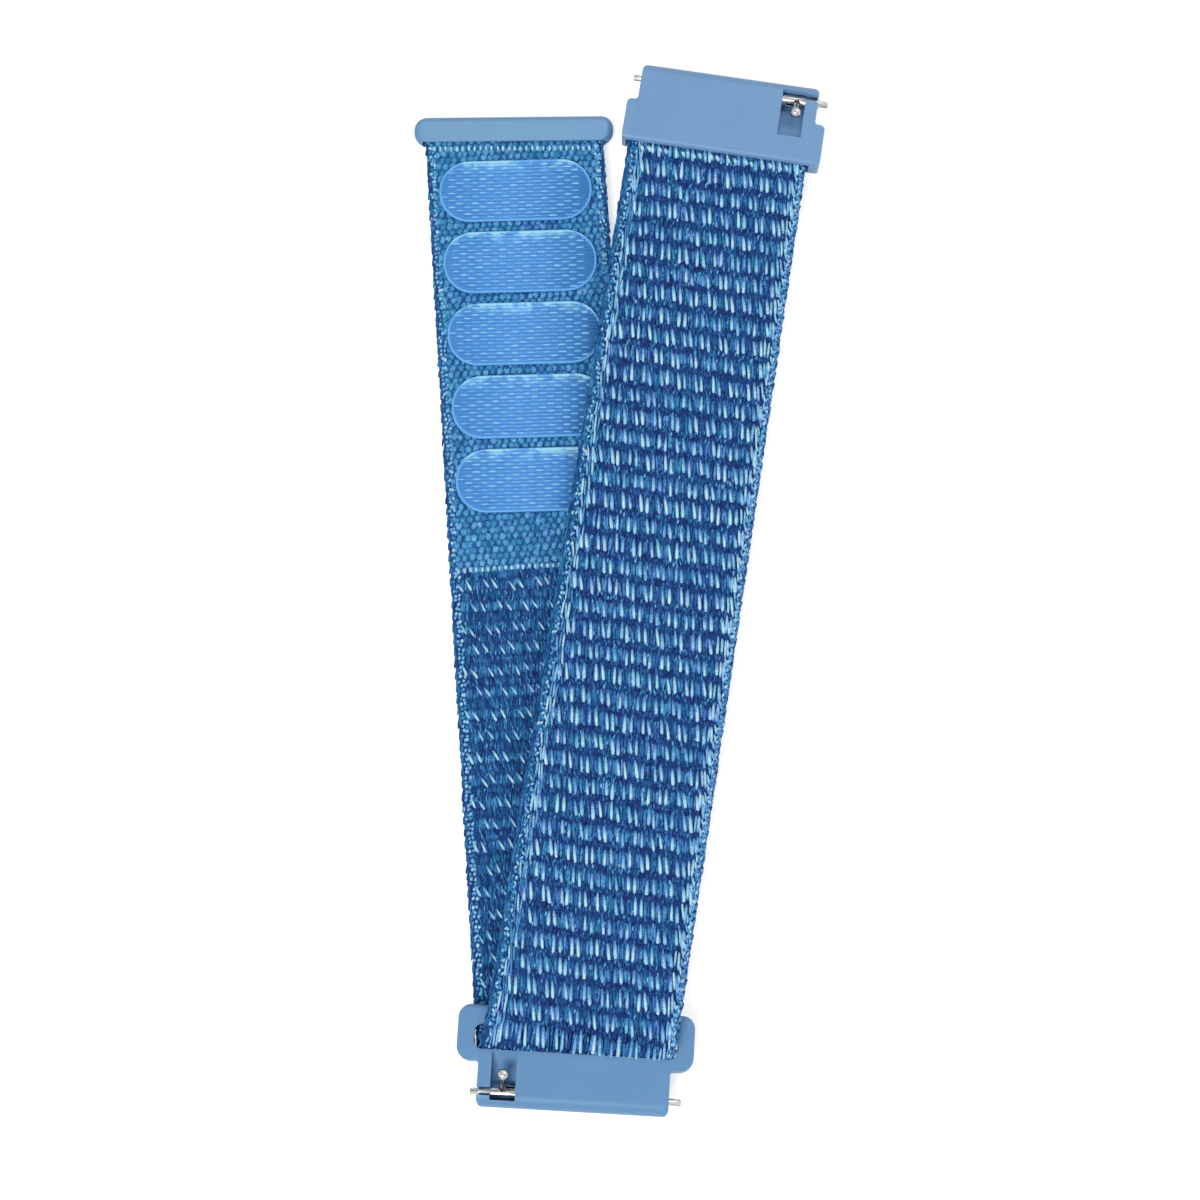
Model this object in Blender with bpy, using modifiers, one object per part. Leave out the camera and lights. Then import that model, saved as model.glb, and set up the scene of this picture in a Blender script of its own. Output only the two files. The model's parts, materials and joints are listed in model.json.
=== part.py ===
"""Hook and loop watch strap, laid flat: a woven band folded through a slotted connector.

The long run goes from the fixed connector to the slotted one, passes down through its slot, turns
round the outer bar and comes back underneath as the tail, which carries the hook pads and the end cap.
Metres, +Z up. The origin lies on the floor under the slotted connector's spring bar, at mid-width.
X runs along that spring bar and Y from the lugs towards the band.
"""

import math

import bmesh
import bpy
from mathutils import Matrix, Vector

# The woven band
band_width = 0.0217
band_thickness = 0.0014
band_edge_radius = 0.0004
run_length = 0.1046  # from the outer bar to the mouth of the fixed connector
run_heading = math.radians(-5.52)  # about Z, away from the connector's own Y
tail_heading = math.radians(7.09)
fold_side_shift = 0.00073  # the run passes the bar this far to the right, the tail to the left
joint_gap = 0.0003
soft_gap = 0.0003
pad_gap = 0.0001

# Where the band bends
first_hinge = 0.0030  # from the outer bar's axis, along the run and along the tail
run_curl_shares = (0.192, 0.384, 0.576, 0.768, 0.957)  # of the run's length
tail_curl_shares = (0.45, 0.79)  # of the length between the bar and the hook zone

# The end cap and the hook pads
tail_length = 0.1063  # from the outer bar to the end cap
cap_length = 0.02435
cap_depth = 0.0035
cap_thickness = 0.0021
cap_edge_radius = 0.0008
cap_skew = math.radians(-3.2)  # the cap sits a little askew on the tail
cap_pocket_depth = 0.0023
cap_band_grip = 0.0013
cap_gap = 0.00015
cap_edge_steps = 3
hook_zone_length = 0.0532  # the flat weave that carries the pads, up to the cap
pad_count = 5
pad_length = 0.0185
pad_depth = 0.0078
pad_thickness = 0.00045
pad_corner_radius = 0.0037
pad_pitch = 0.00912
pad_cap_margin = 0.0024  # from the first pad to the cap
pad_side_shift = 0.00025
pad_skew = math.radians(-2.24)

# Both connectors
connector_half_width = 0.0108
lug_end_length = 0.0017  # from the spring bar's axis to the end that faces the watch case
lug_nose_radius = 0.00145
bar_thickness = 0.0012
bar_play = 0.0003  # between the outer bar and the band, over and under it
window_outer_inset = 0.0015  # from the side face to the window
window_width = 0.00285
window_floor_thickness = 0.00065
window_ramp_start = 0.0010
window_rim_depth = 0.0003
groove_half_width = 0.00045
running_clearance = 0.00008

# The slotted connector
slot_neck_length = 0.00335  # from the spring bar's axis to its ears
slot_ear_half_width = 0.01335
slot_ear_radius = 0.0015
slot_far_end = 0.0096
slot_start = 0.00463
slot_depth = 0.00282
slot_half_width = 0.01145
slot_corner_radius = 0.0009
neck_corner_radius = 0.00045
ear_fillet_radius = 0.0004
under_recess_start = 0.0059
bar_edge_radius = 0.00055
slot_window_nose_inset = 0.00075  # from the lug end to the window
slot_window_rim = 0.00025

# The fixed connector
fixed_side_shift = 0.00036  # the band enters it this far from its middle
fixed_neck_length = 0.00335
fixed_ear_half_width = 0.01205
fixed_ear_radius = 0.0006
fixed_mouth = 0.0085  # from the spring bar's axis to the mouth that holds the band
fixed_mouth_radius = 0.0006
fixed_window_nose_inset = 0.0011
fixed_window_reach = 0.0053  # from the spring bar's axis to the end of the window's ramp
pocket_depth = 0.0030
band_grip = 0.0027

# Each quick-release spring bar
barrel_radius = 0.00075
barrel_bore_radius = 0.00060
barrel_shoulder_inset = 0.0002  # from the side face to the barrel's narrow end
barrel_taper_length = 0.0012
barrel_far_inset = 0.0002
barrel_lip = 0.00010
tip_radius = 0.00040
release_tip_reach = 0.00080  # beyond the side face
fixed_tip_reach = 0.00140
release_travel = 0.00085
piston_length = 0.0027
piston_play = 0.0002
tip_chamfer = 0.00008
fixed_shank_length = 0.0095
stem_radius = 0.00035
knob_radius = 0.00068
slot_knob_reach = (0.0019, 0.0022)  # from the spring bar's axis, along Y and Z
fixed_knob_reach = (0.00229, 0.00179)
fixed_bar_shift = 0.00042  # the fixed connector's spring bar sits this far towards its window
stem_seat_depth = 0.0003
stem_gap = 0.00004
knob_steps = 10
spring_wire_radius = 0.00008
spring_mean_radius = 0.00038
spring_turns = 9
spring_points_per_turn = 8
spring_play = 0.00005

overrun = 0.0020  # how far a cutter reaches past what it cuts
weld_distance = 0.000001
turn_rows = 26
turn_columns = 8
arc_steps = 8
round_steps = 24

band_colour = (0.045, 0.215, 0.500)
pad_colour = (0.130, 0.370, 0.760)
plastic_colour = (0.175, 0.340, 0.590)
steel_colour = (0.780, 0.780, 0.790)

# Levels and places that follow from the sizes
tail_bottom = (cap_thickness - band_thickness) / 2
tail_top = tail_bottom + band_thickness
bar_bottom = tail_top + bar_play
connector_thickness = bar_bottom + bar_thickness
half_thickness = connector_thickness / 2
run_bottom = connector_thickness + bar_play
run_top = run_bottom + band_thickness
fold_level = (run_bottom + tail_top) / 2
turn_radius = (run_bottom - tail_top) / 2 + band_thickness / 2
turn_centre_y = slot_start + soft_gap + turn_radius + band_thickness / 2
turn_length = math.pi * turn_radius
bar_axis_y = (slot_start + slot_depth + slot_far_end) / 2
pad_top = tail_top + pad_gap + pad_thickness
fan_range = tail_heading - run_heading  # this turn brings the tail under the run

pad_places = [
    tail_length - pad_cap_margin - pad_depth / 2 - k * pad_pitch for k in range(pad_count)
]
corridor = pad_pitch / 2  # from a pad's middle to the strip of bare band above it
run_hinges = [first_hinge] + [share * run_length for share in run_curl_shares]
tail_hinges = (
    [first_hinge]
    + [share * (tail_length - hook_zone_length) for share in tail_curl_shares]
    + [pad_places[-1] - corridor]
    + [pad_places[k] + corridor for k in range(pad_count - 2, 0, -2)]
)


def clear_scene():
    for thing in list(bpy.data.objects):
        bpy.data.objects.remove(thing, do_unlink=True)


def new_collection(name):
    collection = bpy.data.collections.new(name)
    bpy.context.scene.collection.children.link(collection)
    return collection


def new_material(name, colour, roughness, metallic):
    material = bpy.data.materials.new(name)
    material.use_nodes = True
    shader = material.node_tree.nodes["Principled BSDF"]
    shader.inputs["Base Color"].default_value = (*colour, 1)
    shader.inputs["Roughness"].default_value = roughness
    shader.inputs["Metallic"].default_value = metallic
    return material


def add_axis(name, location, turn=0, parent=None):
    """An empty on a joint's axis, or at the middle of a connector."""
    axis = bpy.data.objects.new(name, None)
    strap.objects.link(axis)
    axis.empty_display_size = band_width / 2
    axis.parent = parent
    axis.location = location
    axis.rotation_euler = (0, 0, turn)
    return axis


def add_part(name, data, material, parent):
    part = bpy.data.objects.new(name, data)
    strap.objects.link(part)
    part.parent = parent
    data.materials.append(material)
    return part


def add_cutter(name, data, parent):
    cutter = bpy.data.objects.new(name, data)
    cutters.objects.link(cutter)
    cutter.parent = parent
    cutter.hide_render = True
    cutter.display_type = "WIRE"
    return cutter


def cut(part, cutter, operation="DIFFERENCE"):
    modifier = part.modifiers.new(cutter.name, "BOOLEAN")
    modifier.operation = operation
    modifier.object = cutter


def rounded_outline(corners):
    """The points of a closed outline whose corners are (x, y, radius), each rounded by an arc."""
    points = []
    for i, (x, y, radius) in enumerate(corners):
        corner = Vector((x, y))
        if not radius:
            points.append(corner)
            continue
        back = (Vector(corners[i - 1][:2]) - corner).normalized()
        on = (Vector(corners[(i + 1) % len(corners)][:2]) - corner).normalized()
        half = back.angle(on) / 2
        centre = corner + (back + on).normalized() * radius / math.sin(half)
        start = corner + back * radius / math.tan(half) - centre
        end = corner + on * radius / math.tan(half) - centre
        turn = math.atan2(start.x * end.y - start.y * end.x, start.dot(end))
        for k in range(arc_steps + 1):
            points.append(centre + Matrix.Rotation(turn * k / arc_steps, 2) @ start)
    return points


def prism(name, outline, low, high, matrix=None):
    """A flat outline made solid between two levels, then turned by the matrix."""
    curve = bpy.data.curves.new(name, "CURVE")
    curve.dimensions = "2D"
    curve.fill_mode = "BOTH"
    curve.extrude = (high - low) / 2
    spline = curve.splines.new("POLY")
    spline.points.add(len(outline) - 1)
    for point, place in zip(spline.points, outline):
        point.co = (*place, 0, 1)
    spline.use_cyclic_u = True
    holder = bpy.data.objects.new(name, curve)
    bpy.context.scene.collection.objects.link(holder)
    graph = bpy.context.evaluated_depsgraph_get()
    mesh = bpy.data.meshes.new_from_object(holder.evaluated_get(graph))
    bpy.data.objects.remove(holder, do_unlink=True)
    form = bmesh.new()
    form.from_mesh(mesh)
    bmesh.ops.remove_doubles(form, verts=form.verts, dist=weld_distance)
    bmesh.ops.translate(form, verts=form.verts, vec=(0, 0, (low + high) / 2))
    if matrix:
        bmesh.ops.transform(form, verts=form.verts, matrix=matrix)
    form.to_mesh(mesh)
    form.free()
    mesh.materials.clear()
    mesh.name = name
    return mesh


ALONG_X = Matrix(((0, 0, 1, 0), (1, 0, 0, 0), (0, 1, 0, 0), (0, 0, 0, 1)))
ALONG_Y = Matrix(((1, 0, 0, 0), (0, 0, -1, 0), (0, 1, 0, 0), (0, 0, 0, 1)))
LYING = (0, math.pi / 2, 0)  # turns a turned shape's own axis from Z to X


def box_outline(left, right, low, high, radius=0):
    return rounded_outline(
        [(left, low, radius), (right, low, radius), (right, high, radius), (left, high, radius)]
    )


def cylinder(name, radius, low, high):
    """A plain round cutter along X."""
    form = bmesh.new()
    bmesh.ops.create_cone(
        form,
        cap_ends=True,
        segments=round_steps,
        radius1=radius,
        radius2=radius,
        depth=high - low,
        matrix=Matrix.Translation(((low + high) / 2, 0, 0)) @ Matrix.Rotation(math.pi / 2, 4, "Y"),
    )
    mesh = bpy.data.meshes.new(name)
    form.to_mesh(mesh)
    form.free()
    return mesh


def turned_part(name, profile, material, parent, closed=False):
    """A profile of (radius, height) that runs down its outer side, turned round Z."""
    count = len(profile)
    edges = [(i, i + 1) for i in range(count - 1)]
    if closed:
        edges.append((count - 1, 0))
    mesh = bpy.data.meshes.new(name)
    mesh.from_pydata([(radius, 0, height) for radius, height in profile], edges, [])
    part = add_part(name, mesh, material, parent)
    screw = part.modifiers.new("turn", "SCREW")
    screw.steps = round_steps
    screw.render_steps = round_steps
    screw.use_merge_vertices = True
    screw.merge_threshold = weld_distance
    return part


def band_plate(name, start, end, axis, top):
    """A straight stretch of band with rounded selvages, from start to end along its axis's Y."""
    section = box_outline(
        -band_width / 2, band_width / 2, top - band_thickness, top, band_edge_radius
    )
    mesh = prism(name, section, -end, -start, ALONG_Y)
    return add_part(name, mesh, band, axis)


def fold_point(along, across):
    """A point of the band's middle surface where it turns round the outer bar.

    along runs down the run, round the turn and out along the tail, and is 0 where the turn starts.
    """
    at_bar = bar_axis_y - turn_centre_y
    share = min(max(along / turn_length, 0), 1)
    skew = tail_heading * share - run_heading * (1 - share)
    entry = fold_side_shift + at_bar * math.tan(run_heading)
    leave = -fold_side_shift + at_bar * math.tan(tail_heading)
    if along < 0:
        side = entry + along * math.tan(run_heading)
    elif along > turn_length:
        side = leave - (along - turn_length) * math.tan(tail_heading)
    else:
        side = entry + (leave - entry) * share
    reach = along + across * math.sin(skew)
    side += across * math.cos(skew)
    if reach < 0:
        return side, turn_centre_y - reach, fold_level + turn_radius
    if reach > turn_length:
        return side, turn_centre_y + reach - turn_length, fold_level - turn_radius
    angle = reach / turn_radius
    return (
        side,
        turn_centre_y - turn_radius * math.sin(angle),
        fold_level + turn_radius * math.cos(angle),
    )


def add_band_turn(axis):
    """The fold through the slot. Its lower end is cut back on the right, where the tail swings."""
    at_bar = bar_axis_y - turn_centre_y
    reach = first_hinge - joint_gap / 2
    start = -at_bar - reach * math.cos(run_heading)
    end = turn_length + at_bar + reach * math.cos(tail_heading)
    form = bmesh.new()
    rows = []
    for i in range(turn_rows + 1):
        row = []
        for j in range(turn_columns + 1):
            across = band_width * (j / turn_columns - 1 / 2)
            last = end - max(across, 0) * math.tan(fan_range)
            place = Vector(fold_point(start + (last - start) * i / turn_rows, across))
            row.append(form.verts.new(place - axis.location))
        rows.append(row)
    for near, far in zip(rows, rows[1:]):
        for j in range(turn_columns):
            form.faces.new((near[j], near[j + 1], far[j + 1], far[j]))
    mesh = bpy.data.meshes.new("band_turn")
    form.to_mesh(mesh)
    form.free()
    turn = add_part("band_turn", mesh, band, axis)
    wall = turn.modifiers.new("wall", "SOLIDIFY")
    wall.thickness = band_thickness
    wall.offset = 0
    return turn


def add_connector(name, centre, plan, side, window_inset, window_reach, mouth):
    """A moulded connector: its plan cut to its side profile, then opened for band and bar.

    Its centre is on the spring bar's axis, with the lug end towards -Y and the lever's window at -X.
    """
    above = half_thickness + overrun
    body = add_part(name, prism(name, plan, -above, above), plastic, centre)
    width = slot_ear_half_width + overrun
    side_cutter = prism(name + "_side", side, -width, width, ALONG_X)
    cut(body, add_cutter(name + "_side", side_cutter, centre), "INTERSECT")
    cut(body, add_cutter(name + "_mouth", mouth, centre))

    window_left = -connector_half_width + window_outer_inset
    floor = -half_thickness + window_floor_thickness
    rim = half_thickness - window_rim_depth
    nose = -lug_end_length + window_inset
    ramp = [
        (nose, floor),
        (window_ramp_start, floor),
        (window_reach, rim),
        (window_reach, above),
        (nose, above),
    ]
    window = prism(name + "_window", ramp, window_left, window_left + window_width, ALONG_X)
    cut(body, add_cutter(name + "_window", window, centre))

    bore_radius = barrel_radius + running_clearance
    reach = connector_half_width + overrun
    cut(body, add_cutter(name + "_bore", cylinder(name + "_bore", bore_radius, -reach, reach), centre))

    groove = box_outline(-reach, window_left + window_width / 2, -groove_half_width, groove_half_width)
    cut(body, add_cutter(name + "_groove", prism(name + "_groove", groove, 0, above), centre))
    return body


def add_slot_connector(centre):
    neck = connector_half_width
    ear = slot_ear_half_width
    plan = rounded_outline(
        [
            (-neck, -lug_end_length, neck_corner_radius),
            (neck, -lug_end_length, neck_corner_radius),
            (neck, slot_neck_length, ear_fillet_radius),
            (ear, slot_neck_length, slot_ear_radius),
            (ear, slot_far_end, slot_ear_radius),
            (-ear, slot_far_end, slot_ear_radius),
            (-ear, slot_neck_length, slot_ear_radius),
            (-neck, slot_neck_length, ear_fillet_radius),
        ]
    )
    underside = bar_bottom - half_thickness
    side = rounded_outline(
        [
            (-lug_end_length, -half_thickness, lug_nose_radius),
            (under_recess_start, -half_thickness, 0),
            (under_recess_start, underside, 0),
            (slot_far_end, underside, bar_edge_radius),
            (slot_far_end, half_thickness, bar_edge_radius),
            (-lug_end_length, half_thickness, lug_nose_radius),
        ]
    )
    slot = box_outline(
        -slot_half_width,
        slot_half_width,
        slot_start,
        slot_start + slot_depth,
        slot_corner_radius,
    )
    reach = half_thickness + overrun
    mouth = prism("slot_connector_mouth", slot, -reach, reach)
    window_reach = slot_start - slot_window_rim
    add_connector("slot_connector", centre, plan, side, slot_window_nose_inset, window_reach, mouth)


def add_fixed_connector(centre):
    neck = connector_half_width
    ear = fixed_ear_half_width
    plan = rounded_outline(
        [
            (-neck, -lug_end_length, neck_corner_radius),
            (neck, -lug_end_length, neck_corner_radius),
            (neck, fixed_neck_length, ear_fillet_radius),
            (ear, fixed_neck_length, fixed_ear_radius),
            (ear, fixed_mouth, fixed_ear_radius),
            (-ear, fixed_mouth, fixed_ear_radius),
            (-ear, fixed_neck_length, fixed_ear_radius),
            (-neck, fixed_neck_length, ear_fillet_radius),
        ]
    )
    side = rounded_outline(
        [
            (-lug_end_length, -half_thickness, lug_nose_radius),
            (fixed_mouth, -half_thickness, fixed_mouth_radius),
            (fixed_mouth, half_thickness, fixed_mouth_radius),
            (-lug_end_length, half_thickness, lug_nose_radius),
        ]
    )
    pocket_section = box_outline(
        fixed_side_shift - band_width / 2 - soft_gap,
        fixed_side_shift + band_width / 2 + soft_gap,
        -band_thickness / 2 - soft_gap,
        band_thickness / 2 + soft_gap,
    )
    pocket = prism(
        "fixed_connector_mouth",
        pocket_section,
        -fixed_mouth - overrun,
        pocket_depth - fixed_mouth,
        ALONG_Y,
    )
    add_connector(
        "fixed_connector", centre, plan, side, fixed_window_nose_inset, fixed_window_reach, pocket
    )


def add_spring_bar(name, roll_axis, slide_axis, knob_reach):
    """A sprung bar across the connector: a barrel with a fixed tip, and a tip drawn in by its knob."""
    side = connector_half_width
    narrow_end = -side + barrel_shoulder_inset
    shoulder = narrow_end + barrel_taper_length
    far_end = side - barrel_far_inset
    throat = tip_radius + running_clearance
    barrel_profile = [
        (barrel_radius, far_end),
        (barrel_radius, shoulder),
        (throat + barrel_lip, narrow_end),
        (throat, narrow_end),
        (throat, shoulder),
        (barrel_bore_radius, shoulder + barrel_lip),
        (barrel_bore_radius, far_end),
    ]
    barrel = turned_part(name + "_barrel", barrel_profile, steel, roll_axis, closed=True)
    barrel.rotation_euler = LYING

    piston_radius = barrel_bore_radius - running_clearance
    piston_start = shoulder + barrel_lip + piston_play
    piston_end = piston_start + piston_length
    release_end = -side - release_tip_reach
    sliding_profile = [
        (0, piston_end),
        (piston_radius, piston_end),
        (piston_radius, piston_start),
        (tip_radius, piston_start),
        (tip_radius, release_end + tip_chamfer),
        (tip_radius - tip_chamfer, release_end),
        (0, release_end),
    ]
    sliding = turned_part(name + "_sliding_tip", sliding_profile, steel, slide_axis)
    sliding.rotation_euler = LYING

    shank_start = far_end - fixed_shank_length
    fixed_end = side + fixed_tip_reach
    fixed_profile = [
        (0, fixed_end),
        (tip_radius - tip_chamfer, fixed_end),
        (tip_radius, fixed_end - tip_chamfer),
        (tip_radius, far_end),
        (piston_radius, far_end),
        (piston_radius, shank_start),
        (0, shank_start),
    ]
    fixed = turned_part(name + "_fixed_tip", fixed_profile, steel, roll_axis)
    fixed.rotation_euler = LYING

    knob_x = -side + window_outer_inset + window_width / 2
    lean = math.atan2(*knob_reach)
    knob_distance = math.hypot(*knob_reach)
    seat = piston_radius - stem_seat_depth
    neck = math.asin(stem_radius / knob_radius)
    knob_profile = [
        (
            knob_radius * math.sin(angle),
            knob_distance + knob_radius * math.cos(angle),
        )
        for angle in ((math.pi - neck) * k / knob_steps for k in range(knob_steps + 1))
    ]
    knob_profile += [(stem_radius, seat + stem_gap), (0, seat + stem_gap)]
    knob = turned_part(name + "_knob", knob_profile, steel, slide_axis)
    knob.location = (knob_x, 0, 0)
    knob.rotation_euler = (-lean, 0, 0)

    hole_radius = stem_radius + stem_gap
    hole = prism(
        name + "_stem_hole",
        [
            (hole_radius * math.cos(angle), hole_radius * math.sin(angle))
            for angle in (2 * math.pi * k / round_steps for k in range(round_steps))
        ],
        seat,
        seat + overrun,
    )
    hole_cutter = add_cutter(name + "_stem_hole", hole, slide_axis)
    hole_cutter.location = (knob_x, 0, 0)
    hole_cutter.rotation_euler = (-lean, 0, 0)
    cut(sliding, hole_cutter)

    slot_side = stem_radius + running_clearance
    travel_slot = box_outline(-slot_side, slot_side + release_travel, -slot_side, slot_side)
    slot = prism(name + "_travel_slot", travel_slot, 0, overrun)
    slot_cutter = add_cutter(name + "_travel_slot", slot, roll_axis)
    slot_cutter.location = (knob_x, 0, 0)
    slot_cutter.rotation_euler = (-lean, 0, 0)
    cut(barrel, slot_cutter)

    add_coil_spring(name + "_spring", piston_end + spring_play, shank_start - spring_play, roll_axis)


def add_coil_spring(name, start, end, axis):
    """The coil that pushes the sliding tip out: one unbroken wire inside the barrel."""
    curve = bpy.data.curves.new(name, "CURVE")
    curve.dimensions = "3D"
    curve.bevel_depth = spring_wire_radius
    curve.bevel_resolution = 1
    curve.use_fill_caps = True
    steps = spring_turns * spring_points_per_turn
    spline = curve.splines.new("POLY")
    spline.points.add(steps)
    first = start + spring_wire_radius
    last = end - spring_wire_radius
    for k, point in enumerate(spline.points):
        angle = 2 * math.pi * k / spring_points_per_turn
        point.co = (
            first + (last - first) * k / steps,
            spring_mean_radius * math.cos(angle),
            spring_mean_radius * math.sin(angle),
            1,
        )
    pitch = (last - first) / spring_turns
    print(f"{name}: {spring_turns} turns, least gap {(pitch - 2 * spring_wire_radius) * 1000:.2f} mm")
    add_part(name, curve, steel, axis)


def add_hook_pad(number, place, axis, axis_place):
    """A stadium-shaped pad of moulded hooks, welded flat to the tail."""
    outline = box_outline(
        -pad_length / 2, pad_length / 2, -pad_depth / 2, pad_depth / 2, pad_corner_radius
    )
    mesh = prism(f"hook_pad_{number}", outline, -pad_thickness, 0)
    pad = add_part(f"hook_pad_{number}", mesh, pad_plastic, axis)
    pad.location = (pad_side_shift, place - axis_place, 0)
    pad.rotation_euler = (0, 0, pad_skew)


def add_end_cap(axis, axis_place):
    """The moulded bar over the band's cut end, round at both ends and open towards the band."""
    outline = box_outline(
        -cap_length / 2,
        cap_length / 2,
        -cap_depth / 2,
        cap_depth / 2,
        cap_depth / 2 - cap_edge_radius / 4,
    )
    mesh = prism("end_cap", outline, -cap_thickness / 2, cap_thickness / 2)
    cap = add_part("end_cap", mesh, plastic, axis)
    edges = cap.modifiers.new("edges", "BEVEL")
    edges.width = cap_edge_radius
    edges.segments = cap_edge_steps
    edges.limit_method = "ANGLE"
    edges.angle_limit = math.radians(60)
    cap.location = (
        0,
        tail_length + cap_depth / 2 - axis_place,
        tail_bottom + band_thickness / 2 - pad_top,
    )
    cap.rotation_euler = (0, 0, cap_skew)
    pocket_section = box_outline(
        -band_width / 2 - soft_gap,
        band_width / 2 + soft_gap,
        -band_thickness / 2 - cap_gap,
        band_thickness / 2 + cap_gap,
    )
    low = -cap_depth / 2
    pocket = prism(
        "end_cap_pocket", pocket_section, -low - cap_pocket_depth, overrun - low, ALONG_Y
    )
    cutter = add_cutter("end_cap_pocket", pocket, axis)
    cutter.location = cap.location
    cutter.rotation_euler = cap.rotation_euler
    cut(cap, cutter)


def add_run(fold_axis):
    """The run: stretches of band hinged on its upper face, then the stub in the fixed connector."""
    start = Vector((fold_side_shift, bar_axis_y, run_top))
    along = Matrix.Rotation(run_heading, 3, "Z") @ Vector((0, 1, 0))
    axis = add_axis(
        "run_lift_axis", start + along * run_hinges[0] - fold_axis.location, run_heading, fold_axis
    )
    for k, place in enumerate(run_hinges):
        if k:
            axis = add_axis(
                f"run_curl_{k}_axis", (0, place - run_hinges[k - 1], 0), parent=axis
            )
        following = run_hinges[k + 1] if k + 1 < len(run_hinges) else None
        end = following - joint_gap / 2 if following else run_length + band_grip
        band_plate(f"run_segment_{k + 1}", joint_gap / 2, end - place, axis, 0)
    bar_place = run_length + fixed_mouth - run_hinges[-1]
    centre = add_axis(
        "fixed_connector_axis",
        (fixed_side_shift, bar_place, -band_thickness / 2),
        math.pi,
        axis,
    )
    add_fixed_connector(centre)
    roll = add_axis("fixed_bar_axis", (-fixed_bar_shift, 0, 0), parent=centre)
    slide = add_axis("fixed_release_axis", (0, 0, 0), parent=roll)
    add_spring_bar("fixed_bar", roll, slide, fixed_knob_reach)


def add_tail(fold_axis):
    """The tail: stretches of band below the run, with the pads on top and the cap on the end."""
    start = Vector((-fold_side_shift, bar_axis_y, pad_top))
    along = Matrix.Rotation(tail_heading, 3, "Z") @ Vector((0, 1, 0))
    axis = add_axis(
        "tail_fan_axis", start + along * tail_hinges[0] - fold_axis.location, tail_heading, fold_axis
    )
    for k, place in enumerate(tail_hinges):
        if k:
            axis = add_axis(
                f"tail_curl_{k}_axis", (0, place - tail_hinges[k - 1], 0), parent=axis
            )
        following = tail_hinges[k + 1] if k + 1 < len(tail_hinges) else None
        end = following - joint_gap / 2 if following else tail_length + cap_band_grip
        band_plate(
            f"tail_segment_{k + 1}", joint_gap / 2, end - place, axis, tail_top - pad_top
        )
        for number, pad_place in enumerate(pad_places, 1):
            if place < pad_place < end:
                add_hook_pad(number, pad_place, axis, place)
    add_end_cap(axis, tail_hinges[-1])


clear_scene()
strap = new_collection("watch_strap")
cutters = new_collection("cutters")
band = new_material("woven nylon", band_colour, 0.85, 0)
plastic = new_material("moulded plastic", plastic_colour, 0.45, 0)
pad_plastic = new_material("hook plastic", pad_colour, 0.55, 0)
steel = new_material("polished steel", steel_colour, 0.2, 1)

connector_axis = add_axis("slot_connector_axis", (0, 0, half_thickness))
add_slot_connector(connector_axis)
slide_axis = add_axis("slot_release_axis", (0, 0, 0), parent=connector_axis)
add_spring_bar("slot_bar", connector_axis, slide_axis, slot_knob_reach)

swivel_axis = add_axis("fold_swivel_axis", (0, bar_axis_y, fold_level))
add_band_turn(swivel_axis)
add_run(swivel_axis)
add_tail(swivel_axis)
bpy.context.view_layer.update()
for axis in strap.objects:
    if axis.type == "EMPTY":
        place = axis.matrix_world.translation
        turn = math.degrees(axis.matrix_world.to_euler().z)
        print(f"{axis.name}: {place.x:.6f} {place.y:.6f} {place.z:.6f}, turned {turn:.3f}")
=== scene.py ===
"""The looks of a woven hook and loop watch strap, laid flat and folded through its slotted connector."""

import json
import math

import bmesh
import bpy
import numpy as np
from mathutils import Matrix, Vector


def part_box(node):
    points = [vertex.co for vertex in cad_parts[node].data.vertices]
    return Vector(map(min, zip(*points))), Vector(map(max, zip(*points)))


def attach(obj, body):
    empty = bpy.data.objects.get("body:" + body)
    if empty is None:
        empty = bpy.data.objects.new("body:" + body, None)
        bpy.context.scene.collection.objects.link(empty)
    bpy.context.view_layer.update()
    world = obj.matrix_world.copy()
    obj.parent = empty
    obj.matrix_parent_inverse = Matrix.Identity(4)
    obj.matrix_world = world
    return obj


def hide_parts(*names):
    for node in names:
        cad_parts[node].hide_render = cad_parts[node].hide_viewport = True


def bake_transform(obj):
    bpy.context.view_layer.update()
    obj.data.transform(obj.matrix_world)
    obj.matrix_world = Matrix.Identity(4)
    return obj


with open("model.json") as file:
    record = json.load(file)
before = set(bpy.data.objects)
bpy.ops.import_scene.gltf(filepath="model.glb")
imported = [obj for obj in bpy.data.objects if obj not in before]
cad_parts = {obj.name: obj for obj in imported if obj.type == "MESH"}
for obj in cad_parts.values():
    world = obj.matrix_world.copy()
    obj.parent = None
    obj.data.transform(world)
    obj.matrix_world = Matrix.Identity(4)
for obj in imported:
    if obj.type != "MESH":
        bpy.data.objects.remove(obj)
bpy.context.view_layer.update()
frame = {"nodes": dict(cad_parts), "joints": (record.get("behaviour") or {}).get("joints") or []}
nodes = frame["nodes"]
joints = {joint["name"]: joint for joint in frame["joints"]}
scene = bpy.context.scene

# The photographer's table: a plain white floor, two broad soft lamps and a white surround.
# The camera looks down from a little before the strap, turned slightly to the left.
CAMERA_PLACE = (0.003884, -0.014059, 0.311798)
CAMERA_TILT = math.radians(13.0)  # from straight down
CAMERA_TURN = math.radians(3.259)
CAMERA_LENS = 81.42  # mm, on a sensor 36 mm wide
FLOOR_HALF = 2.0
FLOOR_LEVEL = -0.0001
FLOOR_WHITE = 0.88
FLOOR_GLOW = 0.60  # added where the floor is seen directly, so that it stays white in plain light
SKY_STRENGTH = 0.31
LAMP_SIZE = 0.9
LAMPS = (
    ("front lamp", (-0.45, -0.75, 1.15), 13.6),
    ("back lamp", (0.55, 0.85, 1.20), 5.3),
)
LAMP_AIM = (0.0, 0.058, 0.0)


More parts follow.
